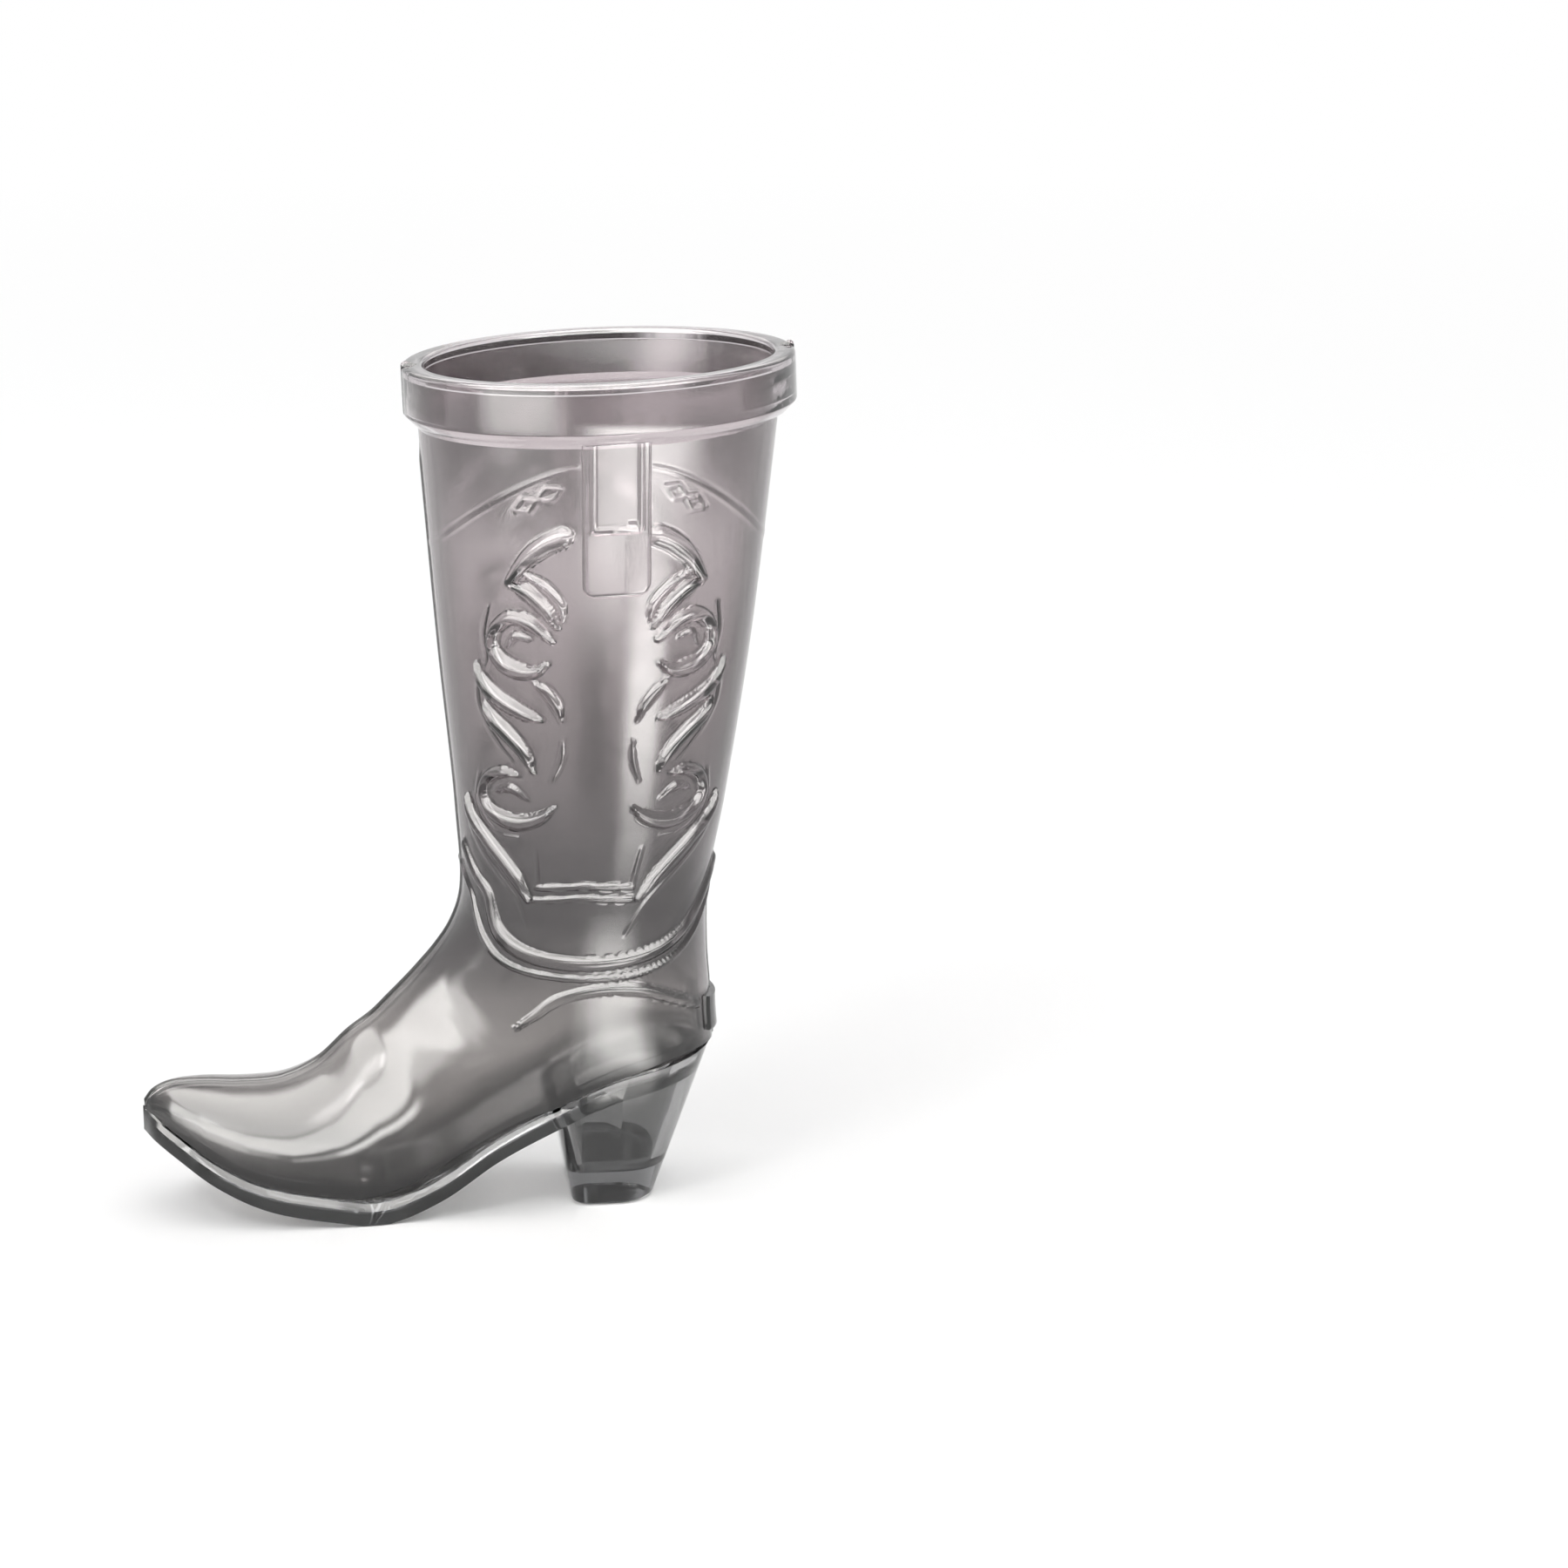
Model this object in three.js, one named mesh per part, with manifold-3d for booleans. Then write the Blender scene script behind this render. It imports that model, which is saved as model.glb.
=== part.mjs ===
// A clear plastic drinking cup in the shape of a western boot.
// Two thin half shells meet on the centre plane and lap over each other at the seam. A lip ring closes
// their top edges, a sole with a hollow heel closes the bottom, and a lift closes the heel.
// Millimetres, +Z up, toe along -X, floor at z = 0. The mouth's axis is x = 0 until the last lines.
import * as THREE from 'three';
import { mergeVertices } from 'three/addons/utils/BufferGeometryUtils.js';
import Module from 'manifold-3d';

const wasm = await Module();
wasm.setup();

// Upper
const CUP_HEIGHT = 190;
const MOUTH_RADIUS = 40.2;
const MOUTH_TILT = 2;
const CALF_HEIGHT = 127;
const CALF_RADIUS = 34.3;
const ANKLE_HEIGHT = 71;
const ANKLE_RADIUS = 27.6;
const ANKLE_WIDTH = 51;
const SHAFT_LEAN = 4.6;
const INSTEP_HEIGHT = 44;
const TOE_HEIGHT = 28.8;
const TOE_REACH = 103.5;
const COUNTER_REACH = 23.6;
const COUNTER_LEVEL = 44;
const SEAT_REACH = 22.6;
const WALL = 2.2;

// Seam, seats and bonds
const CLEARANCE = 0.3;
const SEAM_LAP = 1.8;
const TONGUE_HEIGHT = 2.4;
const TONGUE_THICKNESS = 1.2;

// Lip ring
const COLLAR_HEIGHT = 12.6;
const COLLAR_PROUD = 2.5;
const COLLAR_CHAMFER = 2;
const LIP_THICKNESS = 2.2;
const LIP_ROUND = 1.1;

// Pull straps and spur rest
const STRAP_WIDTH = 14.5;
const STRAP_LENGTH = 33.5;
const STRAP_PROUD = 1.4;
const STRAP_CORNER = 3;
const SPUR_WIDTH = 18;
const SPUR_HEIGHT = 9;
const SPUR_PROUD = 1.4;
const SPUR_LEVEL = 42;

// Raised work: bands round the top of the vamp and of the counter, and scrolls on both sides of the shaft
const RAISED_PROUD = 1;
const PIPING_WIDTH = 4.8;
const PIPING_DROP = 13.4;
const COUNTER_EDGE = 2.2;
const COUNTER_DROP = 18.4;
const SCROLL_WIDTH = 3.2;
const SCROLL_LEAN = 3.7;

// Sole and heel
const SOLE_THICKNESS = 3.9;
const WELT_BEVEL = 1.5;
const WELT_LEDGE = 1.8;
const BALL_REACH = 52;
const BALL_WIDTH = 42;
const WAIST_WIDTH = 34;
const SEAT_WIDTH = 39.6;
const TOE_SPRING = 18;
const SEAT_HEIGHT = 23.6;
const SEAT_RISE = 11.6;
const TREAD_FLAT = 0.35;
const HEEL_BREAST = -15.6;
const HEEL_TIP_FRONT = -9.2;
const HEEL_TIP_BACK = 10.2;
const HEEL_TIP_WIDTH = 29;
const HEEL_BREAST_POWER = 7;
const HEEL_BACK_POWER = 2.3;
const HEEL_LEDGE = 0.6;
const TOE_LEDGE = 0.6;
const HEEL_WALL = 2.8;
const LIFT_HEIGHT = 8;
const PLUG_HEIGHT = 2.3;

// Fineness of the curved surfaces
const ROUND_STEPS = 32;
const SECTION_STEPS = 2;
const SOLE_STEPS = 2;
const CORNER_STEPS = 4;
const BAND_STEPS = 11;
const SCROLL_STEPS = 1;

// Reach of the solids that cut, past every surface
const FAR = 400;

// Solids
function solidOf(geometry) {
  geometry.deleteAttribute('normal');
  geometry.deleteAttribute('uv');
  const merged = mergeVertices(geometry, 1e-4);
  const vertProperties = Float32Array.from(merged.attributes.position.array);
  const triVerts = Uint32Array.from(merged.index.array);
  return new wasm.Manifold(new wasm.Mesh({ numProp: 3, vertProperties, triVerts }));
}

function geometryOf(solid) {
  const mesh = solid.getMesh();
  const geometry = new THREE.BufferGeometry();
  geometry.setAttribute('position', new THREE.BufferAttribute(mesh.vertProperties, 3));
  geometry.setIndex(new THREE.BufferAttribute(mesh.triVerts, 1));
  return geometry;
}

// Closes a row of rings, all with the same number of points, into one body with flat ends.
function loft(rings) {
  const around = rings[0].length;
  const positions = rings.flat().flatMap((p) => [p.x, p.y, p.z]);
  const index = [];
  for (let r = 0; r + 1 < rings.length; r += 1) {
    for (let j = 0; j < around; j += 1) {
      const here = r * around + j;
      const next = r * around + ((j + 1) % around);
      index.push(here, next, here + around, next, next + around, here + around);
    }
  }
  const closeEnd = (row, turned) => {
    const middle = new THREE.Vector3();
    rings[row].forEach((p) => middle.addScaledVector(p, 1 / around));
    const centre = positions.length / 3;
    positions.push(middle.x, middle.y, middle.z);
    for (let j = 0; j < around; j += 1) {
      const a = row * around + j;
      const b = row * around + ((j + 1) % around);
      index.push(centre, turned ? b : a, turned ? a : b);
    }
  };
  closeEnd(0, true);
  closeEnd(rings.length - 1, false);
  const geometry = new THREE.BufferGeometry();
  geometry.setAttribute('position', new THREE.Float32BufferAttribute(positions, 3));
  geometry.setIndex(index);
  return solidOf(geometry);
}

// One closed section between a front and a back point of the centre plane. Each half is a superellipse
// with a power of its own: 2 is round, less is peaked and more is square.
function section(front, back, halfWidth, frontPower, backPower, inset) {
  const axis = back.clone().sub(front).normalize();
  const start = front.clone().addScaledVector(axis, inset);
  const end = back.clone().addScaledVector(axis, -inset);
  const middle = start.clone().add(end).multiplyScalar(0.5);
  const halfLength = start.distanceTo(end) / 2;
  const ring = [];
  for (let j = 0; j < ROUND_STEPS; j += 1) {
    const angle = (2 * Math.PI * j) / ROUND_STEPS;
    const along = -Math.cos(angle);
    const across = Math.sin(angle);
    const power = 2 / (along < 0 ? frontPower : backPower);
    const u = Math.sign(along) * Math.abs(along) ** power * halfLength;
    const y = Math.sign(across) * Math.abs(across) ** power * (halfWidth - inset);
    ring.push(middle.clone().addScaledVector(axis, u).setY(y));
  }
  return ring;
}

const X = new THREE.Vector3(1, 0, 0);
const Y = new THREE.Vector3(0, 1, 0);
const Z = new THREE.Vector3(0, 0, 1);

function extrude(shape, depth) {
  return new THREE.ExtrudeGeometry(shape, { depth, bevelEnabled: false, curveSegments: CORNER_STEPS });
}

// Extrudes an outline drawn in X and Z between two values of Y.
function sidePrism(shape, from, to) {
  const upright = new THREE.Matrix4().makeBasis(X, Z, Y.clone().negate()).setPosition(0, to, 0);
  return solidOf(extrude(shape, to - from).applyMatrix4(upright));
}

// Extrudes an outline drawn in Y and Z between two values of X.
function frontPrism(shape, from, to) {
  const upright = new THREE.Matrix4().makeBasis(Y, Z, X).setPosition(from, 0, 0);
  return solidOf(extrude(shape, to - from).applyMatrix4(upright));
}

function outline(points) {
  return new THREE.Shape(points.map(([x, z]) => new THREE.Vector2(x, z)));
}

// A tab with a straight top edge, which may slope, and two round lower corners
function tab(width, top, bottom, corner, topSlope) {
  const left = -width / 2;
  const right = width / 2;
  const shape = new THREE.Shape();
  shape.moveTo(left, top + left * topSlope);
  shape.lineTo(left, bottom + corner);
  shape.absarc(left + corner, bottom + corner, corner, Math.PI, 1.5 * Math.PI, false);
  shape.absarc(right - corner, bottom + corner, corner, 1.5 * Math.PI, 2 * Math.PI, false);
  shape.lineTo(right, top + right * topSlope);
  return shape;
}

function block(x0, x1, y0, y1, z0, z1) {
  const box = new THREE.BoxGeometry(x1 - x0, y1 - y0, z1 - z0);
  return solidOf(box.translate((x0 + x1) / 2, (y0 + y1) / 2, (z0 + z1) / 2));
}

const aboveLevel = (z) => block(-FAR, FAR, -FAR, FAR, z, FAR);
const belowLevel = (z) => block(-FAR, FAR, -FAR, FAR, -FAR, z);

// Sole line: driving stations from the back of the heel to the toe, as place, half width and underside
const heelBack = SEAT_REACH + HEEL_LEDGE;
const soleBack = heelBack - HEEL_WALL;
const soleTip = -TOE_REACH - TOE_LEDGE;
const seatInside = SEAT_WIDTH / 2 - HEEL_LEDGE * 2;
const seatUnder = SEAT_HEIGHT - SOLE_THICKNESS - WELT_BEVEL;
const soleStations = [
  [soleBack, 1, seatUnder + SEAT_RISE],
  [soleBack - 2, seatInside * 0.47, seatUnder + SEAT_RISE * 0.96],
  [soleBack - 8, seatInside * 0.82, seatUnder + SEAT_RISE * 0.84],
  [0, seatInside, seatUnder + SEAT_RISE * 0.57],
  [HEEL_BREAST, WAIST_WIDTH / 2, seatUnder - 0.9],
  [-BALL_REACH / 2, WAIST_WIDTH / 2, seatUnder * 0.65],
  [-BALL_REACH * 0.75, BALL_WIDTH * 0.443, seatUnder * 0.21],
  [-BALL_REACH, BALL_WIDTH * 0.488, -TREAD_FLAT],
  [-BALL_REACH - 11, BALL_WIDTH / 2, 1],
  [soleTip * 0.745, BALL_WIDTH * 0.464, TOE_SPRING * 0.22],
  [soleTip * 0.848, BALL_WIDTH * 0.385, TOE_SPRING * 0.48],
  [soleTip * 0.925, BALL_WIDTH * 0.27, TOE_SPRING * 0.76],
  [soleTip * 0.976, BALL_WIDTH * 0.15, TOE_SPRING * 0.94],
  [soleTip, 0.8, TOE_SPRING],
].map(([x, width, under]) => new THREE.Vector3(x, width, under));
const soleSteps = (soleStations.length - 1) * SOLE_STEPS;
const solePath = new THREE.CatmullRomCurve3(soleStations).getPoints(soleSteps);
const weltRise = SOLE_THICKNESS + WELT_BEVEL;

function soleAt(x) {
  const after = solePath.findIndex((p) => p.x <= x);
  if (after === 0) return solePath[0];
  if (after < 0) return solePath.at(-1);
  const from = solePath[after - 1];
  const to = solePath[after];
  return from.clone().lerp(to, (from.x - x) / (from.x - to.x));
}

// Everything below a line that runs the given height above the sole's underside
function belowWelt(height) {
  const line = solePath.map((p) => [p.x, p.z + height]);
  const ends = [[soleTip - FAR, TOE_SPRING + height], [soleTip - FAR, -FAR], [FAR, -FAR]];
  const start = [FAR, solePath[0].z + height];
  return sidePrism(outline([start, ...line, ...ends].reverse()), -FAR, FAR);
}

// Upper: driving sections from the mouth to the toe. Below the ankle they turn over the instep until they
// stand upright across the foot, where they reach below the welt and take their width from the sole.
const mouthTilt = THREE.MathUtils.degToRad(MOUTH_TILT);
const mouthAxis = new THREE.Vector3(-Math.sin(mouthTilt), 0, Math.cos(mouthTilt));
const shellDrop = LIP_THICKNESS + CLEARANCE;
const ankleFront = -ANKLE_RADIUS - SHAFT_LEAN;
const ankleBack = ANKLE_RADIUS - SHAFT_LEAN;
const FOOT_BELOW = 10;

function shaft(z, radius, width, lean) {
  return { front: [-radius - lean, z], back: [radius - lean, z], width, powers: [2, 2] };
}

// The mouth is a circle that dips towards the toe, the given way down its own axis from the top of the lip.
function mouth(drop) {
  const middle = new THREE.Vector3(0, 0, CUP_HEIGHT).addScaledVector(mouthAxis, -drop);
  const across = MOUTH_RADIUS * Math.cos(mouthTilt);
  const dip = MOUTH_RADIUS * Math.sin(mouthTilt);
  const front = [middle.x - across, middle.z - dip];
  const back = [middle.x + across, middle.z + dip];
  return { front, back, width: MOUTH_RADIUS, powers: [2, 2] };
}

function foot(front, backX, fullness, powers) {
  const sole = soleAt(backX);
  const width = (sole.y - WELT_LEDGE) * fullness;
  return { front, back: [backX, sole.z + weltRise - FOOT_BELOW], width, powers };
}

const instepDrop = ANKLE_HEIGHT - INSTEP_HEIGHT;
const upperSections = [
  mouth(shellDrop),
  shaft(CALF_HEIGHT, CALF_RADIUS, CALF_RADIUS * 0.99, SHAFT_LEAN * 0.34),
  shaft(ANKLE_HEIGHT + 19, ANKLE_RADIUS + 2.1, ANKLE_WIDTH / 2 + 2.6, SHAFT_LEAN * 0.66),
  shaft(ANKLE_HEIGHT, ANKLE_RADIUS, ANKLE_WIDTH / 2, SHAFT_LEAN),
  {
    front: [ankleFront - 2.4, ANKLE_HEIGHT - instepDrop * 0.27],
    back: [ankleBack - 0.4, ANKLE_HEIGHT - 14],
    width: ANKLE_WIDTH * 0.465,
    powers: [2, 2],
  },
  {
    front: [ankleFront - 6, ANKLE_HEIGHT - instepDrop * 0.47],
    back: [COUNTER_REACH - 0.3, COUNTER_LEVEL],
    width: ANKLE_WIDTH * 0.43,
    powers: [1.95, 2.1],
  },
  {
    front: [ankleFront - 9.5, ANKLE_HEIGHT - instepDrop * 0.62],
    back: [SEAT_REACH, SEAT_HEIGHT + 1],
    width: ANKLE_WIDTH * 0.4,
    powers: [1.9, 2.2],
  },
  {
    front: [ankleFront - 12.8, ANKLE_HEIGHT - instepDrop * 0.75],
    back: [SEAT_REACH - 13, SEAT_HEIGHT - 7],
    width: ANKLE_WIDTH * 0.375,
    powers: [1.85, 2.4],
  },
  foot([ankleFront - 16.6, ANKLE_HEIGHT - instepDrop * 0.89], HEEL_BREAST + 3, 1.14, [1.8, 2.5]),
  foot([ankleFront - 20.6, INSTEP_HEIGHT - 0.9], -BALL_REACH * 0.56, 1.08, [1.75, 2.7]),
  foot([ankleFront - 26, INSTEP_HEIGHT - 4.9], -BALL_REACH * 0.84, 1.04, [1.75, 2.9]),
  foot([ankleFront - 33, TOE_HEIGHT + 4], -BALL_REACH - 6, 1.03, [1.8, 3]),
  foot([ankleFront - 41, TOE_HEIGHT + 0.4], -BALL_REACH - 17.5, 1.03, [1.9, 3]),
  foot([-TOE_REACH * 0.79, TOE_HEIGHT - 0.2], -TOE_REACH * 0.785, 1.03, [2, 3]),
  foot([-TOE_REACH * 0.88, TOE_HEIGHT + 0.3], -TOE_REACH * 0.878, 1.03, [2.1, 2.8]),
  foot([-TOE_REACH * 0.945, TOE_HEIGHT], -TOE_REACH * 0.945, 1.03, [2.1, 2.6]),
  foot([-TOE_REACH * 0.983, TOE_HEIGHT - 1.8], -TOE_REACH * 0.983, 1.03, [2, 2.4]),
  { front: [-TOE_REACH, TOE_HEIGHT - 4], back: [-TOE_REACH, TOE_SPRING], width: 1.6, powers: [2, 2] },
];
const inPlane = ([x, z]) => new THREE.Vector3(x, 0, z);
const frontRail = new THREE.CatmullRomCurve3(upperSections.map((s) => inPlane(s.front)));
const backRail = new THREE.CatmullRomCurve3(upperSections.map((s) => inPlane(s.back)));
const forms = upperSections.map((s) => new THREE.Vector3(s.width, ...s.powers));
const formRail = new THREE.CatmullRomCurve3(forms);

// The upper as a filled body, drawn in by an inset all round. A negative inset stands proud of it. The top
// may run on along the mouth's axis, and sections too small for the inset are left off the toe.
function upper(inset, runOn = 0) {
  const steps = (upperSections.length - 1) * SECTION_STEPS;
  const rings = [];
  for (let i = 0; i <= steps; i += 1) {
    const front = frontRail.getPoint(i / steps);
    const back = backRail.getPoint(i / steps);
    const form = formRail.getPoint(i / steps);
    const room = Math.min(form.x, front.distanceTo(back) / 2) - inset;
    if (room > CLEARANCE) rings.push(section(front, back, form.x, form.y, form.z, inset));
  }
  if (runOn > 0) rings.unshift(rings[0].map((p) => p.clone().addScaledVector(mouthAxis, runOn)));
  return loft(rings);
}

// Half shells. Past the seam the left one keeps the inner part of its wall, and the right one the outer.
const halfGap = CLEARANCE / 2;
const seatCut = belowWelt(weltRise + CLEARANCE);
const hollow = upper(WALL, COLLAR_HEIGHT);
const lapInner = upper(WALL / 2 + halfGap, COLLAR_HEIGHT);
const lapOuter = upper(WALL / 2 - halfGap, COLLAR_HEIGHT);

const curve = (points) => new THREE.SplineCurve(points.map(([x, z]) => new THREE.Vector2(x, z)));
const pipingLow = ANKLE_HEIGHT - PIPING_DROP;
const pipingLine = curve([
  [ankleFront - 5, ANKLE_HEIGHT + 15],
  [ankleFront + 2, ANKLE_HEIGHT + 4.5],
  [ankleFront + 5.7, ANKLE_HEIGHT - 5],
  [ankleFront + 14, pipingLow + 1.9],
  [-SHAFT_LEAN, pipingLow],
  [ankleBack - 14, pipingLow + 1],
  [ankleBack - 4.5, ANKLE_HEIGHT - 6],
  [ankleBack + 4, ANKLE_HEIGHT + 7],
]);
const counterTop = ANKLE_HEIGHT - COUNTER_DROP;
const counterLine = curve([
  [ankleFront + 11, counterTop - 9.4],
  [ankleFront + 19, counterTop - 3.6],
  [-SHAFT_LEAN, counterTop],
  [ankleBack - 14, counterTop - 0.2],
  [ankleBack - 5, counterTop - 4.6],
]);

// Prism over a band along a line. Its width is even, or full at the middle where it tapers.
const evenly = () => 1;
const tapered = (share) => Math.sin(Math.PI * (0.12 + 0.76 * share));

function band(line, width, steps, fullness) {
  const edge = (side) =>
    Array.from({ length: steps + 1 }, (_, i) => {
      const point = line.getPoint(i / steps);
      const along = line.getTangent(i / steps);
      const reach = side * fullness(i / steps);
      return [point.x - along.y * reach, point.y + along.x * reach];
    });
  return sidePrism(outline([...edge(-width / 2), ...edge(width / 2).reverse()]), -FAR, FAR);
}

// Scrolls: turns round the shaft from its side, in degrees, and heights as shares of the shaft's length
const shaftLength = CUP_HEIGHT - ANKLE_HEIGHT;
const scrolls = [
  [[16, 0.722], [20, 0.706], [28.5, 0.675], [34.8, 0.634]],
  [[34.8, 0.63], [28.4, 0.619], [21.6, 0.588], [16.7, 0.553]],
  [[19.2, 0.528], [31, 0.566], [41, 0.545], [42.5, 0.505], [37, 0.476], [27, 0.467], [20.6, 0.484]],
  [[51.4, 0.471], [48, 0.439], [42.5, 0.418], [34.3, 0.398], [22.2, 0.378]],
  [[47.4, 0.397], [43.6, 0.372], [37.3, 0.35], [30.8, 0.323], [24.9, 0.276]],
  [[32, 0.267], [40, 0.271], [49, 0.25], [50, 0.211], [41, 0.181], [25, 0.181], [16, 0.21]],
  [[63.3, 0.207], [59.8, 0.17], [49.9, 0.134], [39.6, 0.099], [31.6, 0.066], [24.8, 0.025]],
];

// A place on the shaft in X and Z. The scrolls' middle line leans towards the toe below the strap.
function onShaft(turn, share) {
  const radius = THREE.MathUtils.lerp(ANKLE_RADIUS, MOUTH_RADIUS, share);
  const middle = -SHAFT_LEAN * (1 - share) ** 2 - SCROLL_LEAN * Math.max(0, 0.85 - share);
  const angle = THREE.MathUtils.degToRad(turn);
  return [middle + radius * Math.sin(angle), ANKLE_HEIGHT + shaftLength * share];
}

function scroll(points, side) {
  const line = curve(points.map(([turn, share]) => onShaft(side * turn, share)));
  return band(line, SCROLL_WIDTH, (points.length - 1) * SCROLL_STEPS, tapered);
}

const raisedPlan = scrolls
  .flatMap((points) => [scroll(points, -1), scroll(points, 1)])
  .concat(band(pipingLine, PIPING_WIDTH, BAND_STEPS, evenly))
  .concat(band(counterLine, COUNTER_EDGE, BAND_STEPS, evenly))
  .reduce((all, one) => all.add(one));
const raisedWork = upper(-RAISED_PROUD).subtract(upper(WALL / 2)).intersect(raisedPlan);
const upperWall = upper(0).subtract(hollow).add(raisedWork).subtract(seatCut);

const pastSeam = (y) => block(-FAR, FAR, y, FAR, -FAR, FAR);
const beforeSeam = (y) => block(-FAR, FAR, -FAR, y, -FAR, FAR);
const leftShell = upperWall.subtract(pastSeam(-halfGap).subtract(lapInner)).subtract(pastSeam(SEAM_LAP));
const rightShell = upperWall
  .subtract(beforeSeam(halfGap))
  .subtract(lapOuter.intersect(beforeSeam(SEAM_LAP + CLEARANCE)));

// Lip ring: a lip over the shells' top edges and a skirt round them, turned square to the mouth's axis
const collarRadius = MOUTH_RADIUS + COLLAR_PROUD;
const lipRadius = MOUTH_RADIUS - WALL;

function lipRing() {
  const profile = new THREE.Path();
  profile.moveTo(lipRadius, -COLLAR_HEIGHT);
  profile.lineTo(collarRadius - COLLAR_CHAMFER, -COLLAR_HEIGHT);
  profile.lineTo(collarRadius, COLLAR_CHAMFER - COLLAR_HEIGHT);
  profile.absarc(collarRadius - LIP_ROUND, -LIP_ROUND, LIP_ROUND, 0, 0.5 * Math.PI);
  profile.absarc(lipRadius + LIP_ROUND, -LIP_ROUND, LIP_ROUND, 0.5 * Math.PI, Math.PI);
  profile.lineTo(lipRadius, -COLLAR_HEIGHT);
  const lathe = new THREE.LatheGeometry(profile.getPoints(3), ROUND_STEPS);
  return solidOf(lathe.rotateX(Math.PI / 2).rotateY(-mouthTilt).translate(0, 0, CUP_HEIGHT));
}
const rimCollar = lipRing().subtract(upper(-CLEARANCE, CLEARANCE));

// Pull straps and spur rest: skins that follow the shells a clearance away
const skin = (proud) => upper(-proud - CLEARANCE).subtract(upper(-CLEARANCE));
const strapTop = CUP_HEIGHT - COLLAR_HEIGHT - CLEARANCE;
const strapSlope = Math.tan(mouthTilt);
const strapOutline = tab(STRAP_WIDTH, strapTop, strapTop - STRAP_LENGTH, STRAP_CORNER, strapSlope);
const strapSkin = skin(STRAP_PROUD);
const leftStrap = strapSkin.intersect(sidePrism(strapOutline, -FAR, -MOUTH_RADIUS / 2));
const rightStrap = strapSkin.intersect(sidePrism(strapOutline, MOUTH_RADIUS / 2, FAR));

const spurTop = SPUR_LEVEL + SPUR_HEIGHT / 2;
const spurOutline = tab(SPUR_WIDTH, spurTop, spurTop - SPUR_HEIGHT, SPUR_HEIGHT / 3, 0);
const spurRest = skin(SPUR_PROUD).intersect(frontPrism(spurOutline, 0, FAR));

// Sole plate: a flat underside, an upright edge and a bevelled welt ledge at each station
function soleSection({ x, y: halfWidth, z: under }) {
  const ledge = Math.min(WELT_LEDGE - CLEARANCE, halfWidth * 0.6);
  const edge = under + SOLE_THICKNESS;
  const top = under + weltRise;
  return [
    [halfWidth, under],
    [-halfWidth, under],
    [-halfWidth, edge],
    [ledge - halfWidth, top],
    [halfWidth - ledge, top],
    [halfWidth, edge],
  ].map(([y, z]) => new THREE.Vector3(x, y, z));
}
const solePlate = loft(solePath.map(soleSection));

// Heel: straight tapers from the seat to the floor, flat at the breast and round at the back
const seatLevel = SEAT_HEIGHT + SEAT_RISE;

function heel(inset, top) {
  const at = (z, above, below) => THREE.MathUtils.lerp(below, above, z / seatLevel);
  const rings = [top, 0].map((z) => {
    const front = new THREE.Vector3(at(z, HEEL_BREAST, HEEL_TIP_FRONT), 0, z);
    const back = new THREE.Vector3(at(z, heelBack, HEEL_TIP_BACK), 0, z);
    const halfWidth = at(z, SEAT_WIDTH, HEEL_TIP_WIDTH) / 2;
    return section(front, back, halfWidth, HEEL_BREAST_POWER, HEEL_BACK_POWER, inset);
  });
  return loft(rings);
}

// Tongue on the sole that stands inside the shells' lower edge
const tongueInset = WALL + CLEARANCE;
const tongue = upper(tongueInset)
  .subtract(upper(tongueInset + TONGUE_THICKNESS))
  .intersect(belowWelt(weltRise + TONGUE_HEIGHT).subtract(belowWelt(SOLE_THICKNESS)));

const seatRing = HEEL_WALL + WALL + TONGUE_THICKNESS;
const heelWay = heel(HEEL_WALL, seatLevel).intersect(belowWelt(0));
const seatWay = heel(seatRing, seatLevel + TONGUE_HEIGHT);
const soleAndHeel = solePlate
  .add(heel(0, seatLevel).intersect(belowWelt(weltRise - CLEARANCE)))
  .add(tongue)
  .subtract(heelWay)
  .subtract(seatWay)
  .subtract(block(HEEL_BREAST, FAR, -FAR, FAR, -FAR, LIFT_HEIGHT))
  .subtract(belowLevel(0));

// Heel lift: the end of the heel's taper, with a plug that locates it in the hollow
const liftPlug = heel(HEEL_WALL + CLEARANCE, LIFT_HEIGHT + PLUG_HEIGHT);
const heelLift = heel(0, seatLevel).subtract(aboveLevel(LIFT_HEIGHT)).add(liftPlug);

// Assembly
const smoke = { color: 0x9a9297, roughness: 0.08, metalness: 0 };
const boot = new THREE.Group();
const pieces = [
  ['left_shell', leftShell],
  ['right_shell', rightShell],
  ['rim_collar', rimCollar],
  ['left_pull_strap', leftStrap],
  ['right_pull_strap', rightStrap],
  ['spur_rest', spurRest],
  ['sole_and_heel', soleAndHeel],
  ['heel_lift', heelLift],
];
for (const [name, solid] of pieces) {
  const mesh = new THREE.Mesh(geometryOf(solid), new THREE.MeshStandardMaterial(smoke));
  mesh.name = name;
  boot.add(mesh);
}

// The origin is on the floor under the middle of the cup.
const box = new THREE.Box3().setFromObject(boot);
boot.position.set(-(box.min.x + box.max.x) / 2, 0, 0);

export default boot;
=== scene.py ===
import math

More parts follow.
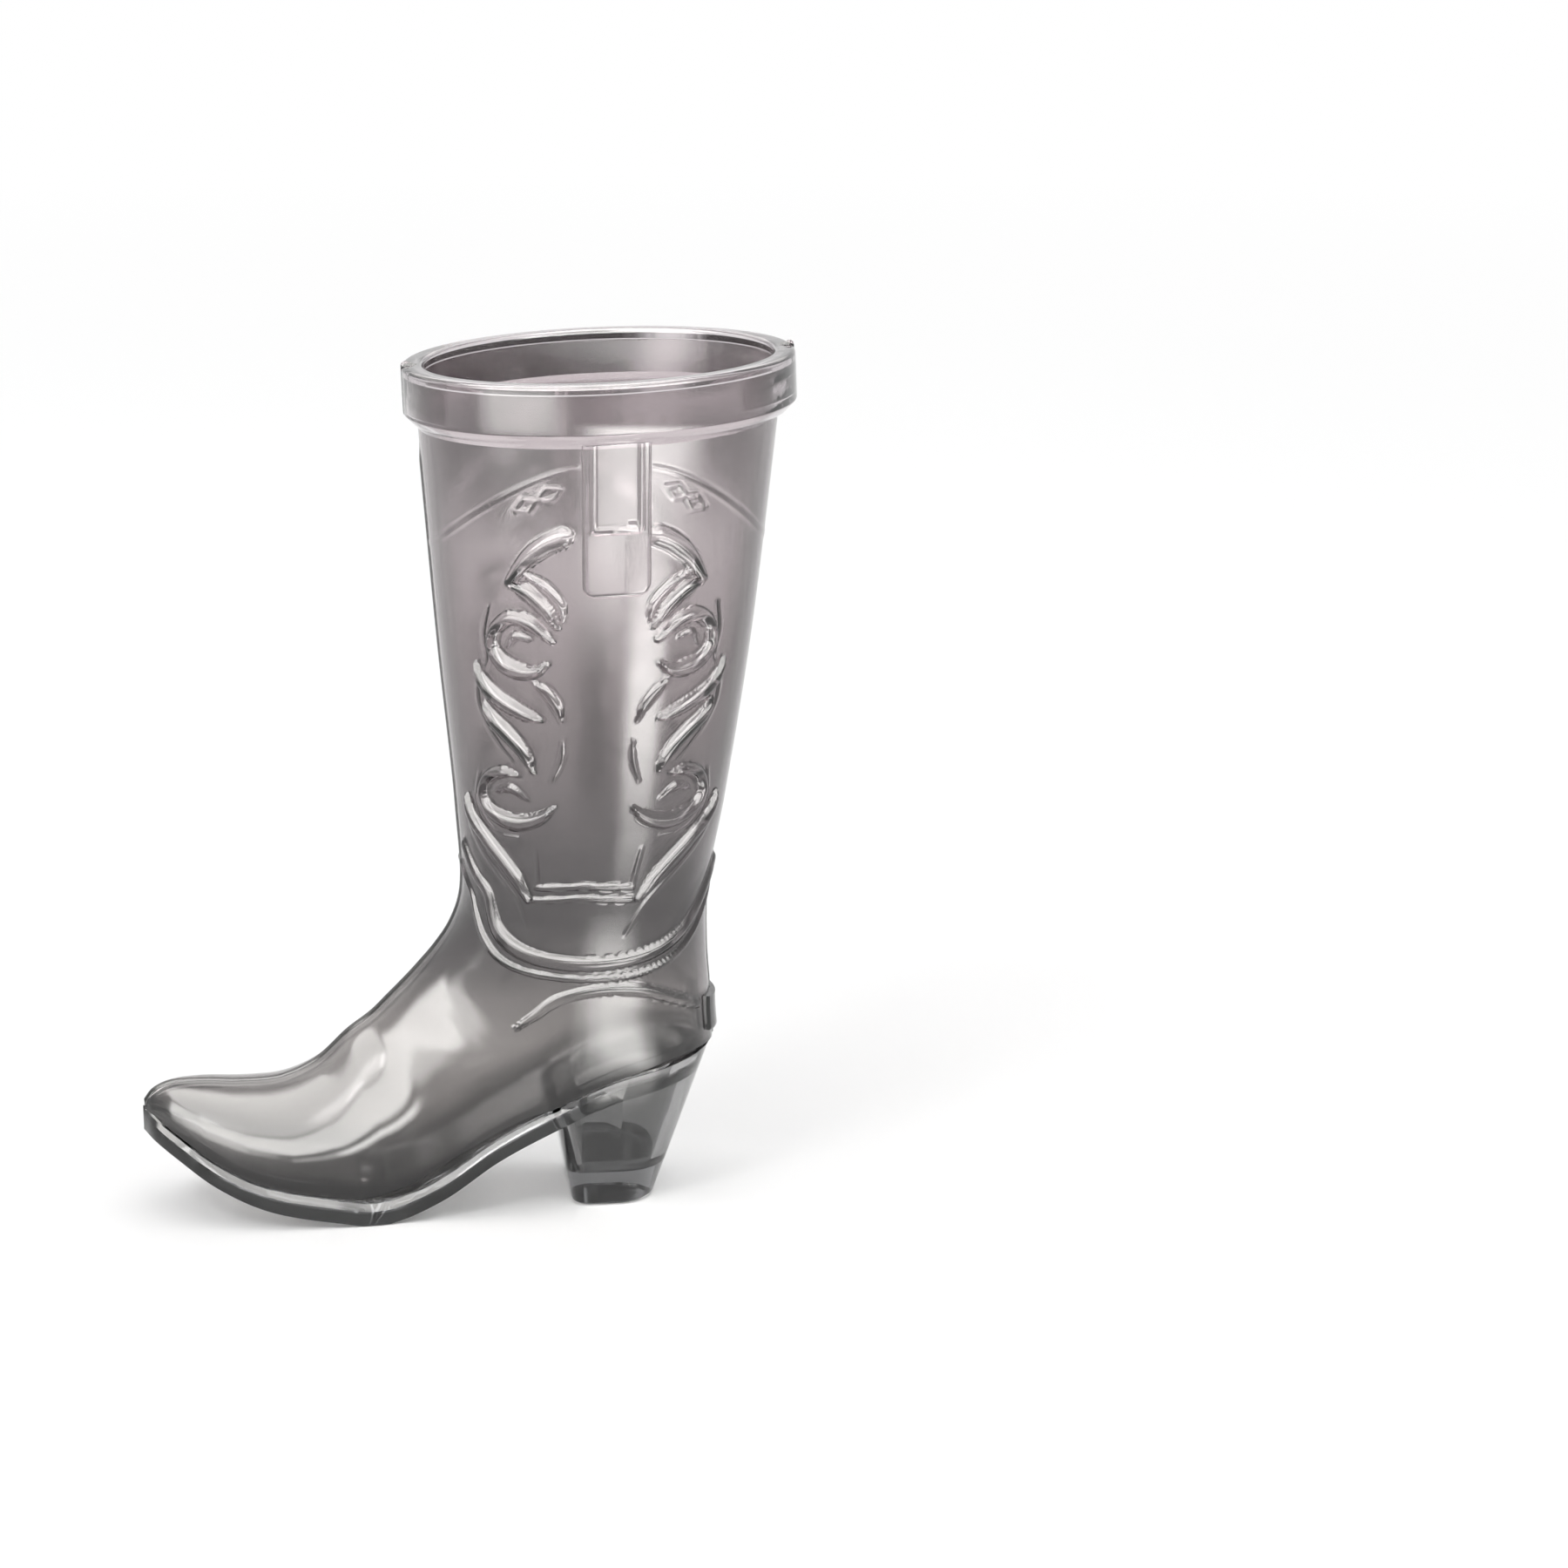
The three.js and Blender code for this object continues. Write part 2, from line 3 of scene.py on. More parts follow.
import bmesh
import bpy
import numpy as np
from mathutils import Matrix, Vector


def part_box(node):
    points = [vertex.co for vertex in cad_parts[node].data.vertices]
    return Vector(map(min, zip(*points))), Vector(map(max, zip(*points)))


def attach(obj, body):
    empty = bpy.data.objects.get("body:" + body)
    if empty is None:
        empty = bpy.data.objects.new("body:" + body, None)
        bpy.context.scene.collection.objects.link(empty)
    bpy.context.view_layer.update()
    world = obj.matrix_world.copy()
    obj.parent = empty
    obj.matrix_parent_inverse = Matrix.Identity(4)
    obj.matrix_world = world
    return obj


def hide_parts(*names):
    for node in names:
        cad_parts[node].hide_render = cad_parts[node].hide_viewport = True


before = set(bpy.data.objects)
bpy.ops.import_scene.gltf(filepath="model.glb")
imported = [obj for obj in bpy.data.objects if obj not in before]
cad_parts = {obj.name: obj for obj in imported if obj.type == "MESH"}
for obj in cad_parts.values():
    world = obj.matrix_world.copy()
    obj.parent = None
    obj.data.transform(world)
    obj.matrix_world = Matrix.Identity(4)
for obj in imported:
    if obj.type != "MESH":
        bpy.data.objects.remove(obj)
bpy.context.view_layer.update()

# Upper shells
# Each half of the boot's upper is a thin injection moulding of clear smoke plastic, bonded to the other half
# along the centre plane. The scroll work, the vamp band and the counter's edge stand proud of its outer face,
# and a low rib of flash is left along the seam.

# Lengths are in millimetres from the mouth's axis and the floor, until new_piece places them in metres.
MM = 0.001
CUP_HEIGHT = 190.0
MOUTH_RADIUS = 40.2
MOUTH_TILT = math.radians(2.0)
LIP_THICKNESS, LIP_GAP = 2.2, 0.3
CALF_HEIGHT, CALF_RADIUS = 127.0, 34.3
ANKLE_HEIGHT, ANKLE_RADIUS, ANKLE_WIDTH = 71.0, 27.6, 51.0
SHAFT_LEAN = 4.6
INSTEP_HEIGHT = 44.0
TOE_HEIGHT, TOE_REACH, TOE_SPRING = 28.8, 103.5, 18.0
COUNTER_REACH, COUNTER_LEVEL, SEAT_REACH = 23.6, 44.0, 22.6
WALL, LEAST_ROOM = 2.2, 0.3
BOND = 0.05
FAR, MOUTH_OVERRUN, SEAM_OVERRUN = 400.0, 10.0, 6.0
SOLE_THICKNESS, WELT_BEVEL, WELT_LEDGE = 3.9, 1.5, 1.8
BALL_REACH, BALL_WIDTH, WAIST_WIDTH = 52.0, 42.0, 34.0
SEAT_HEIGHT, SEAT_RISE, SEAT_WIDTH = 23.6, 11.6, 39.6
HEEL_BREAST, HEEL_WALL, HEEL_LEDGE, TOE_LEDGE = -15.6, 2.8, 0.6, 0.6
TREAD_FLAT = 0.35
FOOT_BELOW = 10.0
ROW_PITCH, HALF_COLUMNS, SOLE_STEPS = 0.45, 270, 8

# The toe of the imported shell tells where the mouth's axis stands along X.
mouth_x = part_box("left_shell")[0].x / MM + TOE_REACH


def smooth_path(points, steps):
    """Curve through points; steps says how many parts each span is cut into."""
    p = np.asarray(points, float)
    p = np.vstack([2 * p[0] - p[1], p, 2 * p[-1] - p[-2]])
    spans = []
    for k, n in enumerate(steps):
        a, b, c, d = p[k : k + 4]
        ab, bc, cd = (max(np.linalg.norm(q - r), 1e-6) ** 0.5 for q, r in ((b, a), (c, b), (d, c)))
        leave = ((b - a) / ab - (c - a) / (ab + bc) + (c - b) / bc) * bc
        arrive = ((c - b) / bc - (d - b) / (bc + cd) + (d - c) / cd) * bc
        t = (np.arange(n) / n)[:, None]
        square = 3 * (c - b) - 2 * leave - arrive
        cube = 2 * (b - c) + leave + arrive
        spans.append(b + leave * t + square * t**2 + cube * t**3)
    return np.concatenate(spans + [p[-2][None]])


# Sole line from the back of the heel to the toe: place, half width and underside
heel_back = SEAT_REACH + HEEL_LEDGE
sole_back = heel_back - HEEL_WALL
sole_tip = -TOE_REACH - TOE_LEDGE
seat_inside = SEAT_WIDTH / 2 - 2 * HEEL_LEDGE
welt_rise = SOLE_THICKNESS + WELT_BEVEL
seat_under = SEAT_HEIGHT - welt_rise
sole_stations = [
    (sole_back, 1.0, seat_under + SEAT_RISE),
    (sole_back - 2, seat_inside * 0.47, seat_under + SEAT_RISE * 0.96),
    (sole_back - 8, seat_inside * 0.82, seat_under + SEAT_RISE * 0.84),
    (0.0, seat_inside, seat_under + SEAT_RISE * 0.57),
    (HEEL_BREAST, WAIST_WIDTH / 2, seat_under - 0.9),
    (-BALL_REACH / 2, WAIST_WIDTH / 2, seat_under * 0.65),
    (-BALL_REACH * 0.75, BALL_WIDTH * 0.443, seat_under * 0.21),
    (-BALL_REACH, BALL_WIDTH * 0.488, -TREAD_FLAT),
    (-BALL_REACH - 11, BALL_WIDTH / 2, 1.0),
    (sole_tip * 0.745, BALL_WIDTH * 0.464, TOE_SPRING * 0.22),
    (sole_tip * 0.848, BALL_WIDTH * 0.385, TOE_SPRING * 0.48),
    (sole_tip * 0.925, BALL_WIDTH * 0.27, TOE_SPRING * 0.76),
    (sole_tip * 0.976, BALL_WIDTH * 0.15, TOE_SPRING * 0.94),
    (sole_tip, 0.8, TOE_SPRING),
]
sole_path = smooth_path(sole_stations, [SOLE_STEPS] * (len(sole_stations) - 1))


def sole_at(x):
    return [np.interp(x, sole_path[::-1, 0], sole_path[::-1, k]) for k in (1, 2)]


# Sections of the upper from the mouth to the toe: front point, back point, half width, front and back power
ankle_front = -ANKLE_RADIUS - SHAFT_LEAN
ankle_back = ANKLE_RADIUS - SHAFT_LEAN
instep_drop = ANKLE_HEIGHT - INSTEP_HEIGHT
mouth_axis = np.array([-math.sin(MOUTH_TILT), math.cos(MOUTH_TILT)])
mouth_across = np.array([math.cos(MOUTH_TILT), math.sin(MOUTH_TILT)])
SHELL_DROP = LIP_THICKNESS + LIP_GAP


def mouth_section(drop):
    middle = np.array([0.0, CUP_HEIGHT]) - mouth_axis * drop
    return [middle - mouth_across * MOUTH_RADIUS, middle + mouth_across * MOUTH_RADIUS, MOUTH_RADIUS, 2, 2]


def shaft_section(z, radius, half_width, lean):
    return [(-radius - lean, z), (radius - lean, z), half_width, 2, 2]


def foot_section(front, back_x, fullness, front_power, back_power):
    half_width, under = sole_at(back_x)
    back = (back_x, under + welt_rise - FOOT_BELOW)
    return [front, back, (half_width - WELT_LEDGE) * fullness, front_power, back_power]


def instep(forward, dropped):
    return (ankle_front - forward, ANKLE_HEIGHT - instep_drop * dropped)


upper_sections = [
    mouth_section(SHELL_DROP),
    shaft_section(CALF_HEIGHT, CALF_RADIUS, CALF_RADIUS * 0.99, SHAFT_LEAN * 0.34),
    shaft_section(ANKLE_HEIGHT + 19, ANKLE_RADIUS + 2.1, ANKLE_WIDTH / 2 + 2.6, SHAFT_LEAN * 0.66),
    shaft_section(ANKLE_HEIGHT, ANKLE_RADIUS, ANKLE_WIDTH / 2, SHAFT_LEAN),
    [instep(2.4, 0.27), (ankle_back - 0.4, ANKLE_HEIGHT - 14), ANKLE_WIDTH * 0.465, 2, 2],
    [instep(6, 0.47), (COUNTER_REACH - 0.3, COUNTER_LEVEL), ANKLE_WIDTH * 0.43, 1.95, 2.1],
    [instep(9.5, 0.62), (SEAT_REACH, SEAT_HEIGHT + 1), ANKLE_WIDTH * 0.4, 1.9, 2.2],
    [instep(12.8, 0.75), (SEAT_REACH - 13, SEAT_HEIGHT - 7), ANKLE_WIDTH * 0.375, 1.85, 2.4],
    foot_section(instep(16.6, 0.89), HEEL_BREAST + 3, 1.14, 1.8, 2.5),
    foot_section((ankle_front - 20.6, INSTEP_HEIGHT - 0.9), -BALL_REACH * 0.56, 1.08, 1.75, 2.7),
    foot_section((ankle_front - 26, INSTEP_HEIGHT - 4.9), -BALL_REACH * 0.84, 1.04, 1.75, 2.9),
    foot_section((ankle_front - 33, TOE_HEIGHT + 4), -BALL_REACH - 6, 1.03, 1.8, 3),
    foot_section((ankle_front - 41, TOE_HEIGHT + 0.4), -BALL_REACH - 17.5, 1.03, 1.9, 3),
    foot_section((-TOE_REACH * 0.79, TOE_HEIGHT - 0.2), -TOE_REACH * 0.785, 1.03, 2, 3),
    foot_section((-TOE_REACH * 0.88, TOE_HEIGHT + 0.3), -TOE_REACH * 0.878, 1.03, 2.1, 2.8),
    foot_section((-TOE_REACH * 0.945, TOE_HEIGHT), -TOE_REACH * 0.945, 1.03, 2.1, 2.6),
    foot_section((-TOE_REACH * 0.983, TOE_HEIGHT - 1.8), -TOE_REACH * 0.983, 1.03, 2, 2.4),
    [(-TOE_REACH, TOE_HEIGHT - 4), (-TOE_REACH, TOE_SPRING), 1.6, 2, 2],
]
section_fronts = np.array([s[0] for s in upper_sections], float)
section_backs = np.array([s[1] for s in upper_sections], float)
section_forms = np.array([s[2:] for s in upper_sections], float)


def upper_rows(pitch):
    """Front points, back points and forms of the upper's rows, about pitch apart."""
    front_gap = np.linalg.norm(np.diff(section_fronts, axis=0), axis=1)
    back_gap = np.linalg.norm(np.diff(section_backs, axis=0), axis=1)
    steps = np.maximum(4, np.ceil((front_gap + back_gap) / 2 / pitch)).astype(int)
    return [smooth_path(rail, steps) for rail in (section_fronts, section_backs, section_forms)]


def section_rings(rows, angles, inset):
    """Points of each row's section at the angles, drawn in by inset, as rows by columns by XYZ."""
    front, back, form = rows
    axis = back - front
    length = np.linalg.norm(axis, axis=1, keepdims=True)
    axis = axis / length
    middle = (front + back) / 2
    along = -np.cos(angles)[None, :]
    across = np.sin(angles)[None, :]
    power = 2 / np.where(along < 0, form[:, 1:2], form[:, 2:3])
    u = np.sign(along) * np.abs(along) ** power * (length / 2 - inset)
    y = np.sign(across) * np.abs(across) ** power * (form[:, :1] - inset)
    return np.stack([middle[:, :1] + axis[:, :1] * u, y, middle[:, 1:] + axis[:, 1:] * u], axis=-1)


def new_piece(name, points, faces):
    """A mesh object from points in millimetres, measured from the mouth's axis."""
    mesh = bpy.data.meshes.new(name)
    placed = (np.asarray(points).reshape(-1, 3) + [mouth_x, 0, 0]) * MM
    mesh.from_pydata(placed.tolist(), [], [list(f) for f in faces])
    mesh.update()
    shape = bmesh.new()
    shape.from_mesh(mesh)
    if shape.calc_volume(signed=True) < 0:
        mesh.flip_normals()
    shape.free()
    piece = bpy.data.objects.new(name, mesh)
    bpy.context.scene.collection.objects.link(piece)
    return piece


def loft(name, rings, ends=True):
    """Closed body through rings of equal length, or a closed hoop where ends is false."""
    rings = np.asarray(rings)
    count, around = rings.shape[:2]
    last = count - 1 if ends else count
    row = np.arange(last)[:, None]
    col = np.arange(around)[None, :]
    here = row * around + col
    beside = row * around + (col + 1) % around
    over = ((row + 1) % count) * around + col
    over_beside = ((row + 1) % count) * around + (col + 1) % around
    faces = np.stack([here, beside, over_beside, over], axis=-1).reshape(-1, 4).tolist()
    points = rings.reshape(-1, 3)
    if ends:
        middles = [rings[0].mean(axis=0), rings[-1].mean(axis=0)]
        points = np.vstack([points, middles])
        top, low = count * around, count * around + 1
        base = (count - 1) * around
        for j in range(around):
            k = (j + 1) % around
            faces.append((top, k, j))
            faces.append((low, base + j, base + k))
    return new_piece(name, points, faces)


def settle(piece, sharp_angle=32.0):
    """Smooth shading, with real corners kept sharp."""
    piece.data.shade_smooth()
    piece.data.set_sharp_from_angle(angle=math.radians(sharp_angle))


def combine(piece, tool, operation):
    """Adds, cuts or trims a piece by another body, which is used up."""
    modifier = piece.modifiers.new("joint", "BOOLEAN")
    modifier.object = tool
    modifier.operation = operation
    modifier.solver = "MANIFOLD"
    graph = bpy.context.evaluated_depsgraph_get()
    mesh = bpy.data.meshes.new_from_object(piece.evaluated_get(graph))
    piece.modifiers.clear()
    mesh.materials.clear()
    old = piece.data
    piece.data = mesh
    bpy.data.meshes.remove(old)
    bpy.data.objects.remove(tool)
    return piece


def below_welt(height):
    """Everything under a line that runs the given height above the sole's underside."""
    line = [(FAR, sole_path[0, 2])] + [(x, z) for x, _, z in sole_path] + [(-FAR, TOE_SPRING)]

    def ring(x, top):
        return [(x, -FAR, -FAR), (x, -FAR, top), (x, FAR, top), (x, FAR, -FAR)]

    return loft("below_welt", [ring(x, z + height) for x, z in line])


# Raised work of one side of the shaft, drawn on the unrolled wall: distance from the side's middle line and
# height. Each stroke has its points, its half widths from start to end, and how far it stands proud.
AXIS_TOP, AXIS_LEAN = 172.0, 3.0 / 97.0
LINE, LINE_PROUD, ARCH_PROUD = 0.55, 0.4, 0.24
SCROLL_PROUD, LEAF_PROUD, CURL_PROUD = 1.35, 0.8, 0.6
CROSS_LINE = 0.75
side_strokes = [
    (
        [(8.2, 171.8), (14, 170.0), (21.5, 166.4), (33, 159.8), (44, 153.8), (58, 149.5)],
        [LINE, LINE],
        ARCH_PROUD,
    ),
    ([(10.3, 156.8), (13.6, 155.2), (18.2, 151.4), (21.9, 146.4)], [2.1, 2.0, 1.0], SCROLL_PROUD),
    ([(22.0, 146.0), (17.9, 144.6), (13.5, 141.0), (10.4, 136.8)], [0.6, 1.6, 1.5, 0.5], SCROLL_PROUD),
    ([(18.4, 148.4), (13.6, 145.6), (10.0, 141.6), (9.4, 138.2)], [0.4, 1.1, 1.1, 0.4], LEAF_PROUD),
    (
        [(11.4, 133.8), (16.9, 137.7), (21.5, 138.4), (25.3, 135.3), (25.8, 131.6)]
        + [(23.4, 128.5), (19.6, 126.9), (15.6, 126.7), (12.2, 128.6)],
        [0.5, 1.5, 1.4, 1.3, 1.4, 1.7, 1.8, 1.3, 0.5],
        SCROLL_PROUD,
    ),
    ([(16.6, 133.9), (20.2, 134.4), (21.9, 132.0)], [0.5, 0.9, 0.5], CURL_PROUD),
    (
        [(27.6, 140.0), (28.6, 134.2), (27.6, 128.6), (29.9, 123.0), (29.6, 118.1), (26.8, 113.4)],
        [LINE, LINE],
        LINE_PROUD,
    ),
    (
        [(30.6, 127.0), (28.4, 123.2), (25.0, 120.7), (20.0, 118.4), (15.3, 116.6), (12.8, 116.0)],
        [0.5, 1.5, 1.7, 1.6, 1.2, 0.4],
        SCROLL_PROUD,
    ),
    ([(14.9, 124.4), (12.4, 122.8), (9.6, 119.4), (8.2, 116.0)], [0.4, 1.1, 1.1, 0.4], LEAF_PROUD),
    (
        [(27.6, 118.3), (25.2, 115.3), (21.4, 112.6), (17.5, 109.4), (15.3, 106.7), (13.9, 103.8)],
        [0.5, 1.5, 1.7, 1.5, 1.1, 0.4],
        SCROLL_PROUD,
    ),
    ([(26.8, 113.4), (22.6, 109.0), (18.8, 105.6)], [LINE, 0.4], LINE_PROUD),
    (
        [(17.6, 102.8), (21.3, 103.2), (25.7, 101.3), (27.4, 97.6), (25.7, 94.4)]
        + [(21.4, 92.4), (16.4, 91.9), (11.8, 93.4), (8.6, 96.0)],
        [0.5, 1.2, 1.3, 1.2, 1.4, 1.8, 1.8, 1.4, 0.5],
        SCROLL_PROUD,
    ),
    ([(23.0, 98.6), (18.9, 99.6), (15.0, 97.2)], [0.5, 1.0, 0.4], 0.7),
    ([(28.8, 101.6), (29.6, 96.4), (26.6, 91.2), (21.0, 88.7), (16.0, 88.4)], [LINE, 0.4], LINE_PROUD),
    ([(7.6, 111.4), (8.0, 106.6), (9.6, 102.0)], [0.4, 0.7, 0.4], CURL_PROUD),
    (
        [(33.6, 95.6), (31.4, 91.2), (25.8, 87.0), (20.2, 82.8), (16.0, 78.9), (12.4, 74.0)],
        [0.5, 1.5, 1.7, 1.6, 1.5, 0.6],
        SCROLL_PROUD,
    ),
    (
        [(32.4, 88.8), (27.6, 84.2), (19.4, 77.8), (14.6, 73.2), (12.2, 69.0), (10.6, 65.8)],
        [LINE, 0.4],
        LINE_PROUD,
    ),
    ([(11.8, 86.0), (11.0, 81.4), (10.4, 77.6)], [0.4, LINE], LINE_PROUD),
    ([(0.0, 78.0), (10.6, 77.2)], [CROSS_LINE, CROSS_LINE], CURL_PROUD),
    ([(0.0, 75.2), (10.8, 74.2)], [CROSS_LINE, CROSS_LINE], CURL_PROUD),
]
LOZENGES = [(13.7, 166.1), (18.9, 163.3)]
LOZENGE_LONG, LOZENGE_SHORT, LOZENGE_TURN = 2.9, 1.5, math.radians(-28)
LOZENGE_LINE, LOZENGE_PROUD = 0.5, 0.38
for across_side, level in LOZENGES:
    tips = [(LOZENGE_LONG, 0), (0, LOZENGE_SHORT), (-LOZENGE_LONG, 0), (0, -LOZENGE_SHORT), (LOZENGE_LONG, 0)]
    turn, lean = math.cos(LOZENGE_TURN), math.sin(LOZENGE_TURN)
    corners = [(across_side + a * turn - b * lean, level + a * lean + b * turn) for a, b in tips]
    for start, end in zip(corners, corners[1:]):
        side_strokes.append(([start, end], [LOZENGE_LINE, LOZENGE_LINE], LOZENGE_PROUD))

# Bands that cross the whole side: arc length from the section's middle, positive to the back, and height
BAND_PROUD = 0.95
whole_strokes = [
    (
        [(-38, 83), (-31.5, 77.1), (-26.9, 74.0), (-25.0, 70.2), (-22.7, 66.4), (-18.3, 63.2), (-12.1, 60.9)]
        + [(-4, 59.6), (5.8, 59.5), (15, 60.9), (21.6, 63.4), (26.8, 66.9), (32.2, 71.3), (40, 77)],
        [1.5, 1.7, 1.5],
        BAND_PROUD,
    ),
    (
        [(-42, 78), (-33.4, 72.5), (-30.4, 68.5), (-27.3, 64.7), (-21.6, 60.2), (-14.4, 57.5), (-4, 56.0)]
        + [(5.9, 55.7), (14, 56.4), (22.6, 59.2), (28, 62.6), (34, 67.6), (41, 73)],
        [0.8, 0.8],
        0.7,
    ),
    (
        [(-14.5, 43.6), (-9.6, 47.4), (-5.6, 50.6), (2.1, 52.8), (12.3, 52.4), (25.1, 48.1), (32, 45.4)],
        [0.6, 1.4, 1.4, 1.0],
        LEAF_PROUD,
    ),
]
STROKE_STEPS, STROKE_SPREAD, STROKE_POWER, STROKE_MARGIN = 8, 1.1, 0.8, 0.5


def stroke_height(across, level, points, half_widths, proud):
    """Height of a rounded stroke over points of the unrolled wall."""
    steps = STROKE_STEPS if len(points) > 2 else 1
    line = smooth_path(points, [steps] * (len(points) - 1))
    places = np.linspace(0, 1, len(half_widths))
    widths = np.interp(np.linspace(0, 1, len(line)), places, half_widths) * STROKE_SPREAD
    near = max(half_widths) + STROKE_MARGIN
    low, high = line.min(axis=0) - near, line.max(axis=0) + near
    inside = (across > low[0]) & (across < high[0]) & (level > low[1]) & (level < high[1])
    a, z = across[inside], level[inside]
    best = np.zeros(len(a))
    for (p, q), (w0, w1) in zip(zip(line, line[1:]), zip(widths, widths[1:])):
        d = q - p
        t = np.clip(((a - p[0]) * d[0] + (z - p[1]) * d[1]) / (d @ d), 0, 1)
        width = w0 + (w1 - w0) * t
        gap = np.hypot(a - p[0] - t * d[0], z - p[1] - t * d[1]) / width
        crown = proud * np.minimum(1, width)
        best = np.maximum(best, crown * np.clip(1 - gap**2, 0, 1) ** STROKE_POWER)
    height = np.zeros(across.shape)
    height[inside] = best
    return height


# Flash left along the seam, which runs out under the collar
RIB_WIDTH, RIB_PROUD, RIB_TOP, RIB_FADE = 1.3, 0.4, 172.0, 4.0

fine_rows = upper_rows(ROW_PITCH)
near_angles = np.linspace(math.pi, 2 * math.pi, HALF_COLUMNS + 1)
outer = section_rings(fine_rows, near_angles, 0.0)
normal = np.cross(np.gradient(outer, axis=1), np.gradient(outer, axis=0))
normal[:, [0, -1], 1] = 0
normal /= np.linalg.norm(normal, axis=2, keepdims=True)
outward = outer - outer.mean(axis=1, keepdims=True)
normal *= np.sign((normal * outward).sum(axis=2, keepdims=True).mean(axis=1, keepdims=True))

row_middle = (fine_rows[0] + fine_rows[1]) / 2
row_half = np.linalg.norm(fine_rows[1] - fine_rows[0], axis=1) / 2
upright = row_middle[:, 1] > INSTEP_HEIGHT
levels = row_middle[upright, 1][::-1]
level_middle = np.interp(outer[..., 2], levels, row_middle[upright, 0][::-1])
level_radius = np.interp(outer[..., 2], levels, row_half[upright][::-1])
turned = np.arcsin(np.clip((outer[..., 0] - level_middle) / level_radius, -1, 1)) * level_radius
side_axis = -AXIS_LEAN * np.maximum(0, AXIS_TOP - outer[..., 2])
on_shaft = outer[..., 2] > INSTEP_HEIGHT - 2

relief = np.zeros(outer.shape[:2])
for places_across, strokes in ((np.abs(turned - side_axis), side_strokes), (turned, whole_strokes)):
    for stroke in strokes:
        relief = np.maximum(relief, stroke_height(places_across, outer[..., 2], *stroke))
relief *= on_shaft
rib = RIB_PROUD * np.clip(1 - (outer[..., 1] / RIB_WIDTH) ** 2, 0, 1)
rib *= np.clip((RIB_TOP - outer[..., 2]) / RIB_FADE, 0, 1)
relief = np.maximum(relief, rib)
outer = outer + normal * relief[..., None]

# The wall keeps its thickness under the raised work, so its inner face follows the outer one.
roomy = np.minimum(fine_rows[2][:, 0], row_half) - WALL > LEAST_ROOM
inner = (section_rings(fine_rows, near_angles, WALL) + normal * relief[..., None])[roomy]
past_seam = inner[:, [-1, 0]] + np.array([0, SEAM_OVERRUN, 0])
inner = np.concatenate([inner, past_seam], axis=1)


def run_on(rings):
    """The first ring repeated further out along the mouth's axis."""
    step = np.array([mouth_axis[0], 0, mouth_axis[1]]) * MOUTH_OVERRUN
    return np.concatenate([rings[:1] + step, rings])


left_half = loft("upper_left", outer)
combine(left_half, loft("wall_inside", run_on(inner)), "DIFFERENCE")
combine(left_half, below_welt(welt_rise + BOND), "DIFFERENCE")
right_half = left_half.copy()
right_half.data = left_half.data.copy()
right_half.name = right_half.data.name = "upper_right"
bpy.context.scene.collection.objects.link(right_half)
for half, side in ((left_half, 1), (right_half, -1)):
    places = np.empty(len(half.data.vertices) * 3)
    half.data.vertices.foreach_get("co", places)
    places = places.reshape(-1, 3)
    places[:, 1] = side * (places[:, 1] - BOND / 2 * MM)
    half.data.vertices.foreach_set("co", places.ravel())
    if half is right_half:
        half.data.flip_normals()
    half.data.update()
    settle(half)


# The plastic's own marks: a cloudy tint, fine rub marks and a faint ripple drawn out along the shaft
marks = bpy.data.node_groups.new("moulding_marks", "ShaderNodeTree")
for socket, scale in (("Cloud Scale", 60.0), ("Flow Scale", 160.0), ("Rub Scale", 420.0)):
    marks.interface.new_socket(socket, in_out="INPUT", socket_type="NodeSocketFloat").default_value = scale
for socket in ("Cloud", "Rub", "Ripple"):
    marks.interface.new_socket(socket, in_out="OUTPUT", socket_type="NodeSocketFloat")
marks_in = marks.nodes.new("NodeGroupInput")
marks_out = marks.nodes.new("NodeGroupOutput")
marks_place = marks.nodes.new("ShaderNodeTexCoord")
marks_stretch = marks.nodes.new("ShaderNodeMapping")
marks_stretch.inputs["Scale"].default_value = (1.0, 1.0, 0.16)
marks.links.new(marks_place.outputs["Object"], marks_stretch.inputs["Vector"])


def marks_noise(scale_socket, vector, detail, roughness):
    noise = marks.nodes.new("ShaderNodeTexNoise")
    noise.inputs["Detail"].default_value = detail
    noise.inputs["Roughness"].default_value = roughness
    marks.links.new(marks_in.outputs[scale_socket], noise.inputs["Scale"])
    marks.links.new(vector, noise.inputs["Vector"])
    return noise.outputs["Fac"]


cloud = marks_noise("Cloud Scale", marks_place.outputs["Object"], 3.0, 0.55)
ripple = marks_noise("Flow Scale", marks_stretch.outputs["Vector"], 2.0, 0.45)
rub = marks_noise("Rub Scale", marks_place.outputs["Object"], 6.0, 0.7)
rub_range = marks.nodes.new("ShaderNodeMapRange")
rub_range.inputs["From Min"].default_value = 0.52
rub_range.inputs["From Max"].default_value = 0.75
marks.links.new(rub, rub_range.inputs["Value"])
marks.links.new(cloud, marks_out.inputs["Cloud"])
marks.links.new(rub_range.outputs["Result"], marks_out.inputs["Rub"])
marks.links.new(ripple, marks_out.inputs["Ripple"])


